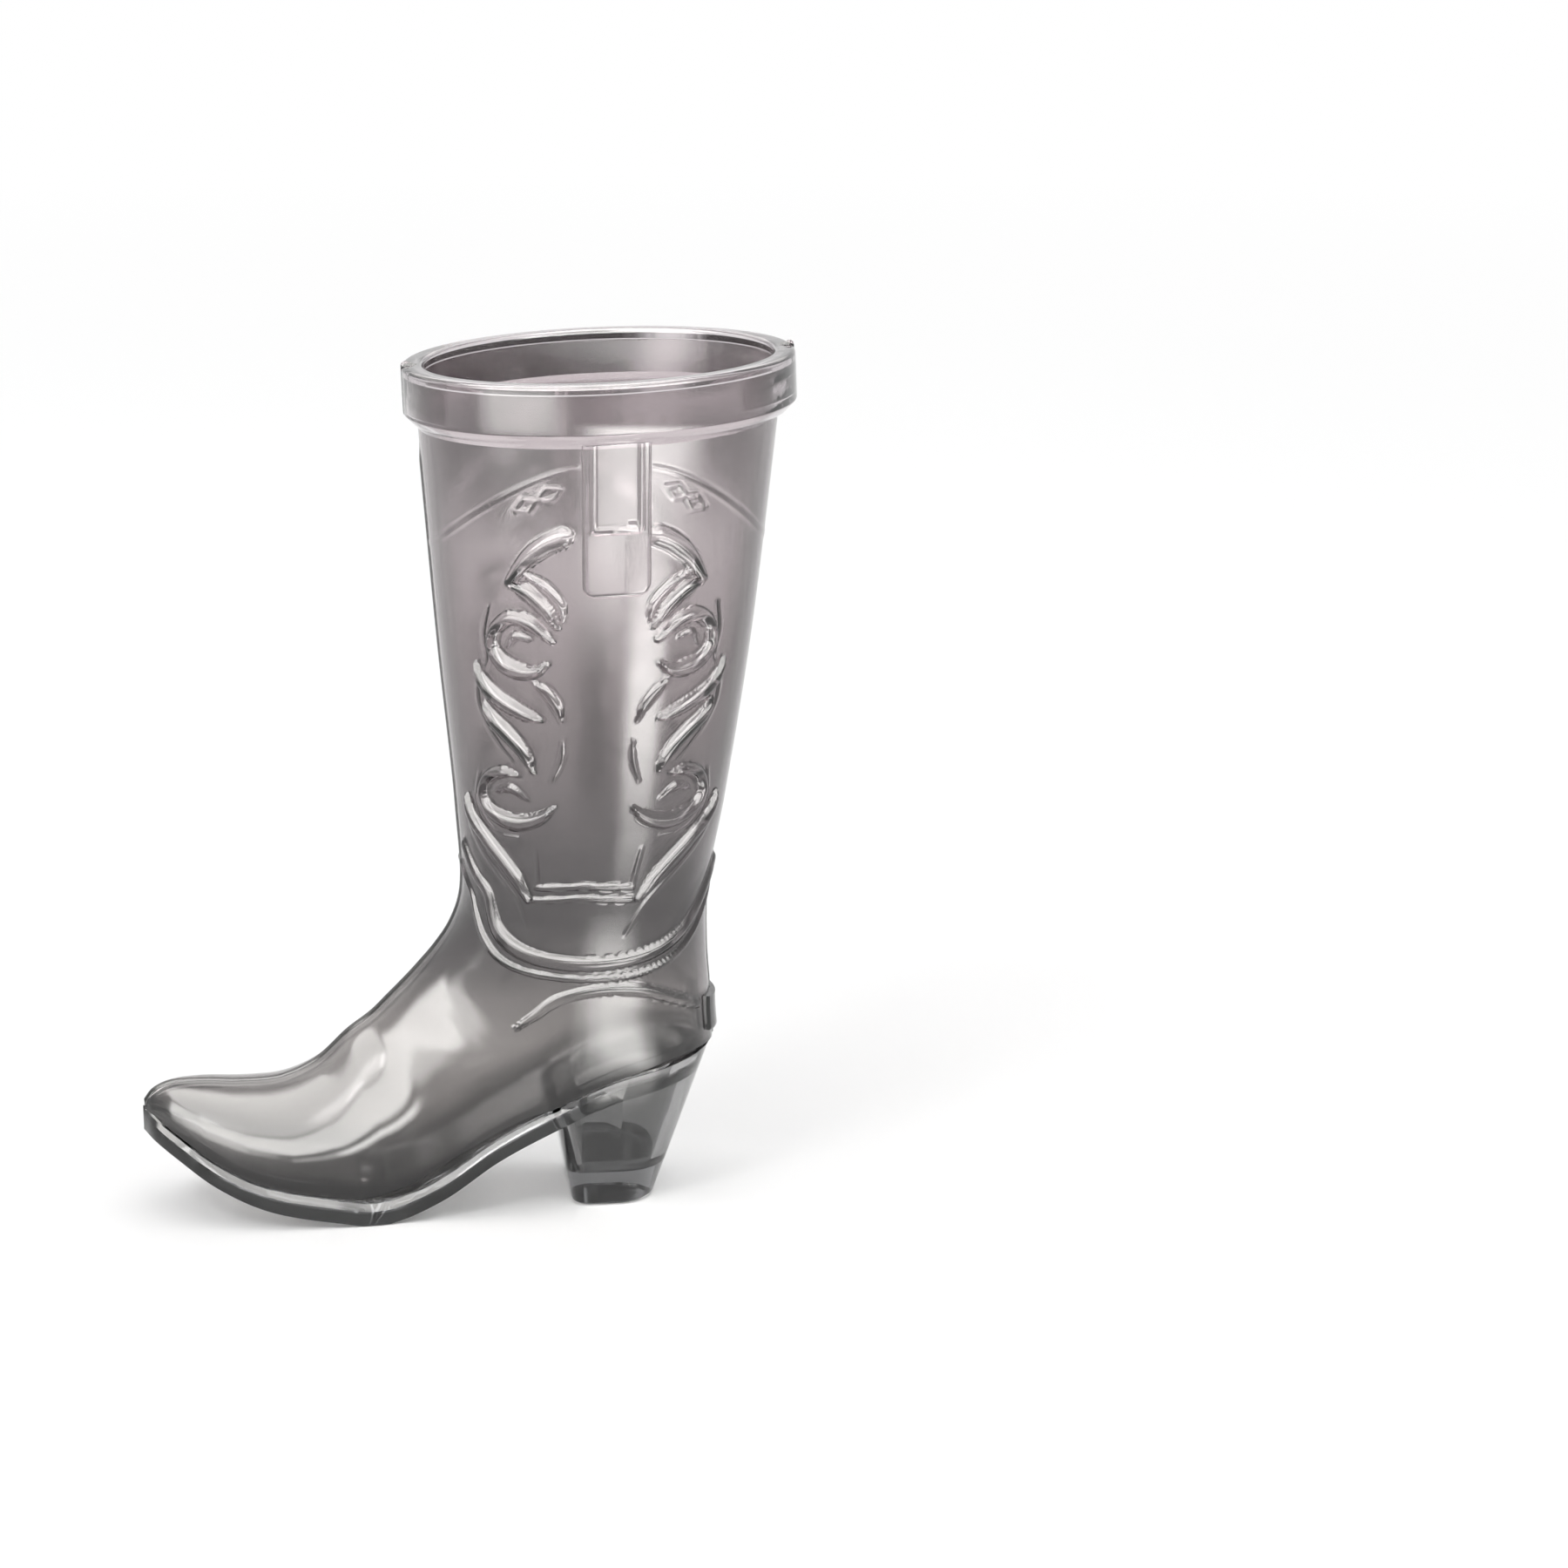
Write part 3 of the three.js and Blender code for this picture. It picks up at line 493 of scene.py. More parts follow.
# Height of a point above the sole's underside, in millimetres. The curve holds the underside as a share.
SOLE_SPAN = 40.0
above_sole = bpy.data.node_groups.new("height_above_sole", "ShaderNodeTree")
above_sole.interface.new_socket("Height", in_out="OUTPUT", socket_type="NodeSocketFloat")
above_out = above_sole.nodes.new("NodeGroupOutput")
above_place = above_sole.nodes.new("ShaderNodeTexCoord")
above_split = above_sole.nodes.new("ShaderNodeSeparateXYZ")
above_share = above_sole.nodes.new("ShaderNodeMapRange")
above_share.inputs["From Min"].default_value = (mouth_x + sole_tip) * MM
above_share.inputs["From Max"].default_value = (mouth_x + sole_back) * MM
above_line = above_sole.nodes.new("ShaderNodeFloatCurve")
line_points = above_line.mapping.curves[0].points
for x, _, under in sole_stations[-2:0:-1]:
    line_points.new((x - sole_tip) / (sole_back - sole_tip), under / SOLE_SPAN)
line_points[0].location = (0, TOE_SPRING / SOLE_SPAN)
line_points[-1].location = (1, (seat_under + SEAT_RISE) / SOLE_SPAN)
above_line.mapping.update()
above_level = above_sole.nodes.new("ShaderNodeMath")
above_level.operation = "MULTIPLY"
above_level.inputs[1].default_value = 1 / MM
above_height = above_sole.nodes.new("ShaderNodeMath")
above_height.operation = "MULTIPLY_ADD"
above_height.inputs[1].default_value = -SOLE_SPAN
above_sole.links.new(above_place.outputs["Object"], above_split.inputs["Vector"])
above_sole.links.new(above_split.outputs["X"], above_share.inputs["Value"])
above_sole.links.new(above_share.outputs["Result"], above_line.inputs["Value"])
above_sole.links.new(above_split.outputs["Z"], above_level.inputs[0])
above_sole.links.new(above_line.outputs["Value"], above_height.inputs[0])
above_sole.links.new(above_level.outputs["Value"], above_height.inputs[2])
above_sole.links.new(above_height.outputs["Value"], above_out.inputs["Height"])

SHADE_SPAN = 20.0


def paint_shade_above_sole(material, colour, shares):
    """Paints shade into a plastic: multiplies its tint by a colour, by shares at heights above the sole's
    underside.
    """
    nodes, links = material.node_tree.nodes, material.node_tree.links
    height = nodes.new("ShaderNodeGroup")
    height.node_tree = above_sole
    part = nodes.new("ShaderNodeMapRange")
    part.inputs["From Max"].default_value = SHADE_SPAN
    ramp = nodes.new("ShaderNodeValToRGB")
    stops = ramp.color_ramp.elements
    while len(stops) < len(shares):
        stops.new(0.5)
    for stop, (level, share) in zip(stops, shares):
        stop.position = level / SHADE_SPAN
        stop.color = (share, share, share, 1)
    shade = nodes.new("ShaderNodeMix")
    shade.data_type = "RGBA"
    shade.blend_type = "MULTIPLY"
    shade.inputs["B"].default_value = (*colour, 1)
    shader = nodes["Principled BSDF"]
    links.new(height.outputs["Height"], part.inputs["Value"])
    links.new(part.outputs["Result"], ramp.inputs["Fac"])
    links.new(ramp.outputs["Color"], shade.inputs["Factor"])
    links.new(shader.inputs["Base Color"].links[0].from_socket, shade.inputs["A"])
    links.new(shade.outputs["Result"], shader.inputs["Base Color"])


PLASTIC_IOR = 1.56
FOOT_LEVEL, SHAFT_LEVEL = 0.045, 0.070
RUB_HAZE = 0.06
RIPPLE_STRENGTH, RIPPLE_DEPTH = 0.12, 0.0006


def smoke_plastic(name, tints_and_painted_shade, smoke, density, foot_haze=0.04, shaft_haze=0.03):
    """Clear plastic: tint and painted shade at heights in millimetres, the smoke in its depth, and how hazy its
    skin is.
    """
    material = bpy.data.materials.new(name)
    material.use_nodes = True
    nodes, links = material.node_tree.nodes, material.node_tree.links
    shader = nodes["Principled BSDF"]
    shader.inputs["Transmission Weight"].default_value = 1.0
    shader.inputs["IOR"].default_value = PLASTIC_IOR
    own_marks = nodes.new("ShaderNodeGroup")
    own_marks.node_tree = marks
    place = nodes.new("ShaderNodeTexCoord")
    split = nodes.new("ShaderNodeSeparateXYZ")
    links.new(place.outputs["Object"], split.inputs["Vector"])
    height = nodes.new("ShaderNodeMapRange")
    height.inputs["From Max"].default_value = CUP_HEIGHT * MM
    links.new(split.outputs["Z"], height.inputs["Value"])
    # Colours by height: the plastic's tint, with painted shade and light where they change.
    tint = nodes.new("ShaderNodeValToRGB")
    stops = tint.color_ramp.elements
    while len(stops) < len(tints_and_painted_shade):
        stops.new(0.5)
    for stop, (level, colour) in zip(stops, tints_and_painted_shade):
        stop.position = level / CUP_HEIGHT
        stop.color = (*colour, 1)
    links.new(height.outputs["Result"], tint.inputs["Fac"])
    clouded = nodes.new("ShaderNodeMix")
    clouded.data_type = "RGBA"
    clouded.blend_type = "MULTIPLY"
    clouded.inputs["B"].default_value = (0.93, 0.92, 0.925, 1)
    links.new(own_marks.outputs["Cloud"], clouded.inputs["Factor"])
    links.new(tint.outputs["Color"], clouded.inputs["A"])
    links.new(clouded.outputs["Result"], shader.inputs["Base Color"])
    soft = nodes.new("ShaderNodeMapRange")
    soft.inputs["From Min"].default_value = FOOT_LEVEL
    soft.inputs["From Max"].default_value = SHAFT_LEVEL
    soft.inputs["To Min"].default_value = foot_haze
    soft.inputs["To Max"].default_value = shaft_haze
    links.new(split.outputs["Z"], soft.inputs["Value"])
    gloss = nodes.new("ShaderNodeMath")
    gloss.operation = "MULTIPLY_ADD"
    gloss.inputs[1].default_value = RUB_HAZE
    links.new(own_marks.outputs["Rub"], gloss.inputs[0])
    links.new(soft.outputs["Result"], gloss.inputs[2])
    links.new(gloss.outputs["Value"], shader.inputs["Roughness"])
    bump = nodes.new("ShaderNodeBump")
    bump.inputs["Strength"].default_value = RIPPLE_STRENGTH
    bump.inputs["Distance"].default_value = RIPPLE_DEPTH
    links.new(own_marks.outputs["Ripple"], bump.inputs["Height"])
    links.new(bump.outputs["Normal"], shader.inputs["Normal"])
    absorb = nodes.new("ShaderNodeVolumeAbsorption")
    absorb.inputs["Color"].default_value = (*smoke, 1)
    absorb.inputs["Density"].default_value = density
    links.new(absorb.outputs["Volume"], nodes["Material Output"].inputs["Volume"])
    return material


# Painted shade and light by height over the smoke tint: darker low on the foot and in a band from 57 to 82 mm,
# lighter toward the top.
upper_plastic = smoke_plastic(
    "upper_smoke_plastic_painted_shade",
    [
        (14, (0.45, 0.445, 0.43)),
        (40, (0.65, 0.645, 0.625)),
        (57, (0.33, 0.325, 0.323)),
        (71, (0.29, 0.285, 0.284)),
        (82, (0.44, 0.43, 0.428)),
        (125, (0.72, 0.69, 0.69)),
        (158, (0.99, 0.965, 0.965)),
    ],
    (0.58, 0.52, 0.545),
    220.0,
    foot_haze=0.12,
    shaft_haze=0.15,
)
# Painted shade: a dark band on the upper just above the welt, fading out 13 mm over the sole's underside.
paint_shade_above_sole(upper_plastic, (0.33, 0.335, 0.335), [(4.0, 1.0), (7.5, 0.9), (11.0, 0.1), (13.0, 0.0)])
for half, node in ((left_half, "left_shell"), (right_half, "right_shell")):
    half.data.materials.append(upper_plastic)
    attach(half, "root")
    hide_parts(node)

# Rim collar
# The drinking lip is a thick ring of the same plastic, moulded with a chamfer under its skirt and pushed over
# the shells' top edges, where it is bonded. Fins of flash stand on it at both ends of the parting plane.
COLLAR_HEIGHT, COLLAR_PROUD, COLLAR_CHAMFER, LIP_ROUND = 12.6, 2.5, 2.0, 1.1
SKIRT_ROUND, SKIRT_RISE, CHAMFER_ROUND, CHAMFER_IN = 0.6, 0.3, 0.5, 0.2
FIN_HEIGHT, FIN_HALF, FIN_DEPTH = 0.9, 0.6, 2.2
SEAM_HALF, SEAM_PROUD = 0.45, 0.12
collar_radius = MOUTH_RADIUS + COLLAR_PROUD
lip_radius = MOUTH_RADIUS - WALL


def arc(centre, radius, start, end, steps):
    turns = np.radians(np.linspace(start, end, steps))
    return [(centre[0] + radius * math.cos(t), centre[1] - radius * math.sin(t)) for t in turns]


# Profile as radius and drop below the lip's top
skirt_centre = (collar_radius - SKIRT_ROUND, COLLAR_HEIGHT - COLLAR_CHAMFER - SKIRT_RISE)
chamfer_centre = (collar_radius - COLLAR_CHAMFER - CHAMFER_IN, COLLAR_HEIGHT - CHAMFER_ROUND)
collar_face = (
    [(lip_radius, LIP_THICKNESS)]
    + arc((lip_radius + LIP_ROUND, LIP_ROUND), LIP_ROUND, 180, 90, 7)
    + arc((collar_radius - LIP_ROUND, LIP_ROUND), LIP_ROUND, 90, 0, 7)
    + arc(skirt_centre, SKIRT_ROUND, 0, -40, 4)
    + arc(chamfer_centre, CHAMFER_ROUND, -50, -90, 4)
)
seam_turns = np.radians([-2.2, -1.3, -0.9, -0.6, -0.3, 0, 0.3, 0.6, 0.9, 1.3, 2.2])
plain_turns = np.radians(np.arange(3, 178, 1.75))
collar_turns = np.concatenate([seam_turns, plain_turns, seam_turns + math.pi, plain_turns + math.pi])
axis_3d = np.array([mouth_axis[0], 0, mouth_axis[1]])
across_3d = np.array([mouth_across[0], 0, mouth_across[1]])
groove_rows = [rail[:26:5] for rail in fine_rows]
groove = section_rings(groove_rows, collar_turns, -BOND)
collar_rings = []
for k, turn in enumerate(collar_turns):
    radial = -math.cos(turn) * across_3d + math.sin(turn) * np.array([0, 1, 0])
    from_seam = abs(math.sin(turn)) * collar_radius
    ring = []
    for radius, drop in collar_face:
        if radius > collar_radius - FIN_DEPTH:
            if drop < LIP_ROUND:
                drop -= FIN_HEIGHT * max(0, 1 - (from_seam / FIN_HALF) ** 2)
            radius += SEAM_PROUD * max(0, 1 - (from_seam / SEAM_HALF) ** 2)
        ring.append(np.array([0, 0, CUP_HEIGHT]) - axis_3d * drop + radial * radius)
    ring.extend(groove[::-1, k])
    shelf = np.array([0, 0, CUP_HEIGHT]) - axis_3d * (SHELL_DROP - BOND)
    ring.append(shelf + radial * (MOUTH_RADIUS + BOND))
    ring.append(shelf + radial * lip_radius)
    collar_rings.append(ring)
collar = loft("lip_collar", np.array(collar_rings), ends=False)
settle(collar)
collar_plastic = smoke_plastic(
    "collar_smoke_plastic", [(172, (0.90, 0.86, 0.87)), (190, (0.86, 0.82, 0.83))], (0.56, 0.53, 0.55), 90.0
)
collar.data.materials.append(collar_plastic)
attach(collar, "root")
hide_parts("rim_collar")

# Pull straps
# Each pull strap is a flat tab with round lower corners that hangs from the collar on the side of the shaft.
# It is bonded to the shell, and a stitched panel is raised on its upper half.
STRAP_WIDTH, STRAP_LENGTH, STRAP_PROUD, STRAP_CORNER, STRAP_ROUND = 14.5, 33.5, 1.4, 3.0, 1.35
PANEL_HALF, PANEL_LOW, STITCH_HALF, STITCH_PROUD = 4.8, 158.5, 0.8, 0.7
STRAP_ROWS, STRAP_COLUMNS, STRAP_CROWDING = 120, 56, 0.45
EDGE_SHARE, STRAP_REGION = 0.15, 70
strap_top = CUP_HEIGHT - COLLAR_HEIGHT - LIP_GAP
strap_low = strap_top - STRAP_LENGTH


def shaft_point(x, z, proud):
    """Points of the shaft's near wall at the given places, standing proud of it."""
    front, back, form = [rail[: int(STRAP_REGION / ROW_PITCH)] for rail in fine_rows]
    axis = back - front
    length = np.linalg.norm(axis, axis=1)
    axis = axis / length[:, None]
    middle = (front + back) / 2
    row_z = middle[:, 1] + (x[:, None] - middle[:, 0]) * axis[:, 1] / axis[:, 0]
    before = np.clip((row_z > z[:, None]).sum(axis=1) - 1, 0, len(front) - 2)
    index = np.arange(len(x))
    part = (row_z[index, before] - z) / (row_z[index, before] - row_z[index, before + 1])

    def at(values):
        return values[before] + (values[before + 1] - values[before]) * part

    half = at(length) / 2
    along = (x - at(middle[:, 0])) / (half * at(axis[:, 0]))
    across = np.sqrt(np.clip(1 - along**2, 0, 1))
    reach = along * (half + proud)
    y = -across * (at(form[:, 0]) + proud)
    x_out, z_out = (at(middle[:, k]) + at(axis[:, k]) * reach for k in (0, 1))
    return np.stack([x_out, y, z_out], -1)


def slab(name, inner, outer_face):
    """Closed body between two grids of the same shape."""
    rows, columns = inner.shape[:2]
    points = np.concatenate([inner.reshape(-1, 3), outer_face.reshape(-1, 3)])
    skin = rows * columns
    index = np.arange(skin).reshape(rows, columns)
    a, b, c, d = index[:-1, :-1], index[:-1, 1:], index[1:, 1:], index[1:, :-1]
    quads = np.stack([a, b, c, d], -1).reshape(-1, 4)
    faces = quads.tolist() + (quads[:, ::-1] + skin).tolist()
    edge = np.concatenate([index[0], index[1:, -1], index[-1, -2::-1], index[-2:0:-1, 0]])
    for p, q in zip(edge, np.roll(edge, -1)):
        faces.append((q, p, p + skin, q + skin))
    return new_piece(name, points, faces)


def fillet(gap, radius):
    """Share of the full height at a distance from a rounded edge."""
    t = np.clip(gap / radius, 0, 1)
    return np.sqrt(np.clip(1 - (1 - t) ** 2, 0, 1))


def ridge(gap, half_width):
    return np.clip(1 - (gap / half_width) ** 2, 0, 1)


def crowded(count, crowding):
    """Places from -1 to 1 that lie closer together toward both ends."""
    even = np.linspace(-1, 1, count)
    return crowding * np.sin(even * math.pi / 2) + (1 - crowding) * even


row_drop = np.linspace(0, 1, STRAP_ROWS)
row_drop = 0.5 - 0.5 * np.cos(math.pi * row_drop) * np.abs(np.cos(math.pi * row_drop)) ** -0.25
row_z = strap_top - STRAP_LENGTH * row_drop
from_low = np.clip(STRAP_CORNER - (row_z - strap_low), 0, STRAP_CORNER)
row_half_width = STRAP_WIDTH / 2 - STRAP_CORNER + np.sqrt(np.clip(STRAP_CORNER**2 - from_low**2, 0, None))
strap_x = row_half_width[:, None] * crowded(STRAP_COLUMNS, STRAP_CROWDING)[None, :]
strap_z = np.repeat(row_z[:, None], STRAP_COLUMNS, axis=1) + strap_x * math.tan(MOUTH_TILT)
side_gap = row_half_width[:, None] - np.abs(strap_x)
low_gap = (row_z - strap_low)[:, None]
strap_thick = STRAP_PROUD * np.maximum(EDGE_SHARE, fillet(side_gap, STRAP_ROUND) * fillet(low_gap, STRAP_ROUND))
stitch_side = ridge(np.abs(np.abs(strap_x) - PANEL_HALF), STITCH_HALF) * (strap_z > PANEL_LOW)
stitch_low = ridge(np.abs(strap_z - PANEL_LOW), STITCH_HALF) * (np.abs(strap_x) < PANEL_HALF)
strap_thick += STITCH_PROUD * np.maximum(stitch_side, stitch_low)
strap_inner = shaft_point(strap_x.ravel(), strap_z.ravel(), BOND).reshape(STRAP_ROWS, STRAP_COLUMNS, 3)
strap_outer = shaft_point(strap_x.ravel(), strap_z.ravel(), BOND + strap_thick.ravel())
strap_outer = strap_outer.reshape(STRAP_ROWS, STRAP_COLUMNS, 3)
strap_plastic = smoke_plastic(
    "strap_smoke_plastic", [(140, (0.97, 0.95, 0.955)), (178, (0.98, 0.96, 0.965))], (0.56, 0.53, 0.55), 50.0
)
left_strap = slab("pull_strap_left", strap_inner, strap_outer)
flip = np.array([1, -1, 1])
right_strap = slab("pull_strap_right", (strap_inner * flip)[:, ::-1], (strap_outer * flip)[:, ::-1])
for strap, node in ((left_strap, "left_pull_strap"), (right_strap, "right_pull_strap")):
    settle(strap)
    strap.data.materials.append(strap_plastic)
    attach(strap, "root")
    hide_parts(node)

# Spur rest
# The spur rest is a small rounded lug of solid plastic, bonded across the seam at the back of the ankle.
SPUR_HALF, SPUR_LOW, SPUR_HIGH, SPUR_PROUD, SPUR_ROUND = 9.0, 37.5, 46.5, 1.4, 0.6
LUG_COLUMNS, LUG_CROWDING = 40, 0.4
lug_rows = [rail[(fine_rows[1][:, 1] >= SPUR_LOW) & (fine_rows[1][:, 1] <= SPUR_HIGH)] for rail in fine_rows]
lug_y = SPUR_HALF * crowded(LUG_COLUMNS, LUG_CROWDING)
back_power = lug_rows[2][:, 2:3]
lug_across = np.sign(lug_y) * (np.abs(lug_y) / lug_rows[2][:, :1]) ** (back_power / 2)


def lug_face(proud):
    front, back, form = lug_rows
    axis = (back - front) / np.linalg.norm(back - front, axis=1, keepdims=True)
    half = np.linalg.norm(back - front, axis=1, keepdims=True) / 2
    reach = (1 - lug_across**2) ** (1 / back_power) * (half + proud)
    middle = (front + back) / 2
    y = np.repeat(lug_y[None], len(front), axis=0)
    return np.stack([middle[:, :1] + axis[:, :1] * reach, y, middle[:, 1:] + axis[:, 1:] * reach], -1)


lug_edge = np.minimum(lug_rows[1][:, 1:] - SPUR_LOW, SPUR_HIGH - lug_rows[1][:, 1:])
lug_thick = SPUR_PROUD * np.maximum(
    EDGE_SHARE, fillet(lug_edge, SPUR_ROUND) * fillet(SPUR_HALF - np.abs(lug_y)[None], SPUR_ROUND)
)
spur = slab("spur_lug", lug_face(BOND)[:, ::-1], lug_face(BOND + lug_thick)[:, ::-1])
settle(spur)
spur_plastic = smoke_plastic(
    "spur_smoke_plastic", [(36, (0.3, 0.29, 0.3)), (46, (0.36, 0.35, 0.355))], (0.55, 0.53, 0.55), 360.0
)
spur.data.materials.append(spur_plastic)
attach(spur, "root")
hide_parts("spur_rest")

# Sole and heel
# The base is one moulding: a sole with a bevelled welt ledge, a hollow heel under its seat, and a tongue that
# stands up inside the shells' lower edge, where the two are bonded.
HEEL_TIP_FRONT, HEEL_TIP_BACK, HEEL_TIP_WIDTH = -9.2, 10.2, 29.0
HEEL_BREAST_POWER, HEEL_BACK_POWER = 7.0, 2.3
TONGUE_HEIGHT, TONGUE_THICKNESS = 2.4, 1.2
LIFT_HEIGHT, PLUG_HEIGHT = 8.0, 2.3
EDGE_ROUND = 0.5
HEEL_SINK, LIFT_MARGIN = 0.3, 2.0
HOLLOW_PITCH, HOLLOW_COLUMNS = 1.2, 240
seat_level = SEAT_HEIGHT + SEAT_RISE
hollow_rows = upper_rows(HOLLOW_PITCH)
hollow_half = np.linalg.norm(hollow_rows[1] - hollow_rows[0], axis=1) / 2
room = np.minimum(hollow_rows[2][:, 0], hollow_half) - WALL
hollow_rows = [rail[room > LEAST_ROOM] for rail in hollow_rows]
all_round = np.linspace(0, 2 * math.pi, HOLLOW_COLUMNS, endpoint=False)


def hollow_body(inset):
    return loft("hollow", run_on(section_rings(hollow_rows, all_round, inset)))


def box_body(x0, x1, z0, z1):
    corners = [(-FAR, z0), (-FAR, z1), (FAR, z1), (FAR, z0)]
    return loft("box_body", [[(x, y, z) for y, z in corners] for x in (x1, x0)])


def sole_ring(x, half_width, under):
    ledge = min(WELT_LEDGE - BOND, half_width * 0.6)
    cut = min(EDGE_ROUND, half_width * 0.3)
    edge, top = under + SOLE_THICKNESS, under + welt_rise
    half = [
        (half_width - cut, under),
        (half_width - cut * 0.3, under + cut * 0.3),
        (half_width, under + cut),
        (half_width, edge - cut * 0.6),
        (half_width - ledge * 0.12, edge),
        (half_width - ledge * 0.55, edge + WELT_BEVEL * 0.75),
        (half_width - ledge, top),
    ]
    return [(x, y, z) for y, z in half] + [(x, -y, z) for y, z in half[::-1]]


def heel_body(inset, top, floor_round=0.0):
    """The heel's straight taper, drawn in by inset, up to a level."""
    levels = [top, floor_round, 0.0] if floor_round else [top, 0.0]
    share = np.array(levels) / seat_level
    in_by = np.array([0.0] * (len(levels) - 1) + [floor_round])
    front = HEEL_TIP_FRONT + (HEEL_BREAST - HEEL_TIP_FRONT) * share + in_by
    back = HEEL_TIP_BACK + (heel_back - HEEL_TIP_BACK) * share - in_by
    width = (HEEL_TIP_WIDTH + (SEAT_WIDTH - HEEL_TIP_WIDTH) * share) / 2 - in_by
    rows = [
        np.stack([front, levels], -1),
        np.stack([back, levels], -1),
        np.stack([width, np.full(len(levels), HEEL_BREAST_POWER), np.full(len(levels), HEEL_BACK_POWER)], -1),
    ]
    return loft("heel_body", section_rings(rows, all_round, inset))


tongue = hollow_body(WALL + BOND)
combine(tongue, hollow_body(WALL + BOND + TONGUE_THICKNESS), "DIFFERENCE")
combine(tongue, below_welt(welt_rise + TONGUE_HEIGHT), "INTERSECT")
combine(tongue, below_welt(SOLE_THICKNESS), "DIFFERENCE")
heel_wall = heel_body(0.0, seat_level)
combine(heel_wall, below_welt(welt_rise - HEEL_SINK), "INTERSECT")
heel_way = heel_body(HEEL_WALL, seat_level)
combine(heel_way, below_welt(0.0), "INTERSECT")
sole = loft("sole_and_heel_base", [sole_ring(*p) for p in sole_path])
combine(sole, heel_wall, "UNION")
combine(sole, tongue, "UNION")
combine(sole, heel_way, "DIFFERENCE")
combine(sole, heel_body(HEEL_WALL + WALL + TONGUE_THICKNESS, seat_level + TONGUE_HEIGHT), "DIFFERENCE")
combine(sole, box_body(HEEL_BREAST - LIFT_MARGIN, FAR, -FAR, LIFT_HEIGHT + BOND), "DIFFERENCE")
combine(sole, box_body(-FAR, FAR, -FAR, 0.0), "DIFFERENCE")
settle(sole)
base_plastic = smoke_plastic(
    "base_smoke_plastic_painted_shade", [(0, (0.9, 0.905, 0.905)), (30, (0.92, 0.92, 0.915))], (0.55, 0.55, 0.56), 45.0
)
# Painted shade: the sole's edge, up to 3.6 mm over its underside, is turned nearly black, and the heel under
# the sole line is darkened.
paint_shade_above_sole(base_plastic, (0.06, 0.062, 0.06), [(0.0, 0.63), (0.2, 1.0), (3.0, 1.0), (3.6, 0.0)])
sole.data.materials.append(base_plastic)
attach(sole, "root")
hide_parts("sole_and_heel")

# Heel lift
# The lift is a solid cap that ends the heel's taper at the floor. A plug on it locates in the hollow heel.
lift = heel_body(0.0, LIFT_HEIGHT, EDGE_ROUND)
combine(lift, heel_body(HEEL_WALL + BOND, LIFT_HEIGHT + PLUG_HEIGHT), "UNION")
settle(lift)
lift.name = lift.data.name = "heel_lift_cap"
# Painted shade: the lift's dark tint over its smoke stands in for the shade in the heel.
lift_plastic = smoke_plastic(
    "lift_smoke_plastic_painted_shade", [(0, (0.36, 0.365, 0.37)), (10, (0.42, 0.425, 0.425))], (0.52, 0.52, 0.53), 60.0
)
lift.data.materials.append(lift_plastic)
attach(lift, "root")
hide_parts("heel_lift")

# Floor and light
# The cup stands on a pale floor that turns white far away, in a white surround with one small softbox. Bright
# cards show only in its reflections, and grey flags only through its plastic.
FLOOR_HALF, FLOOR_DROP, FADE_START, FADE_END = 6.0, 0.0002, 0.5, 2.2
floor_mesh = bpy.data.meshes.new("floor")
floor_corners = [(FLOOR_HALF * x, FLOOR_HALF * y, 0) for x, y in ((-1, -1), (1, -1), (1, 1), (-1, 1))]
floor_mesh.from_pydata(floor_corners, [], [(0, 1, 2, 3)])
floor = bpy.data.objects.new("floor", floor_mesh)
bpy.context.scene.collection.objects.link(floor)
floor.location.z = -FLOOR_DROP
floor_paint = bpy.data.materials.new("pale_floor")
floor_paint.use_nodes = True
floor_shader = floor_paint.node_tree.nodes["Principled BSDF"]
floor_shader.inputs["Base Color"].default_value = (0.93, 0.93, 0.93, 1)
floor_shader.inputs["Roughness"].default_value = 0.9
floor_shader.inputs["Specular IOR Level"].default_value = 0.1
floor_nodes, floor_wire = floor_paint.node_tree.nodes, floor_paint.node_tree.links.new
floor_place = floor_nodes.new("ShaderNodeTexCoord")
floor_reach = floor_nodes.new("ShaderNodeVectorMath")
floor_reach.operation = "LENGTH"
floor_far = floor_nodes.new("ShaderNodeMapRange")
floor_far.inputs["From Min"].default_value = FADE_START
floor_far.inputs["From Max"].default_value = FADE_END
floor_white = floor_nodes.new("ShaderNodeEmission")
floor_blend = floor_nodes.new("ShaderNodeMixShader")
floor_wire(floor_place.outputs["Object"], floor_reach.inputs[0])
floor_wire(floor_reach.outputs["Value"], floor_far.inputs["Value"])
floor_wire(floor_far.outputs["Result"], floor_blend.inputs["Fac"])
floor_wire(floor_shader.outputs["BSDF"], floor_blend.inputs[1])
floor_wire(floor_white.outputs["Emission"], floor_blend.inputs[2])
floor_wire(floor_blend.outputs["Shader"], floor_nodes["Material Output"].inputs["Surface"])
floor_mesh.materials.append(floor_paint)

world = bpy.data.worlds.new("studio")
bpy.context.scene.world = world
world.use_nodes = True
surround = world.node_tree.nodes["Background"]
surround.inputs["Color"].default_value = (1, 1, 1, 1)
surround.inputs["Strength"].default_value = 1.0

# Camera: the photograph's view of the near side, a little from the toe and from above
AIM = np.array([0.0711, 0.0, 0.0924])
AZIMUTH, ELEVATION, DISTANCE = math.radians(-8.0), math.radians(14.6), 0.89
FRAME_PIXELS, FOCAL_PIXELS = 1800, 4560
back_to_eye = np.array(
    [math.sin(AZIMUTH) * math.cos(ELEVATION), -math.cos(AZIMUTH) * math.cos(ELEVATION), math.sin(ELEVATION)]
)


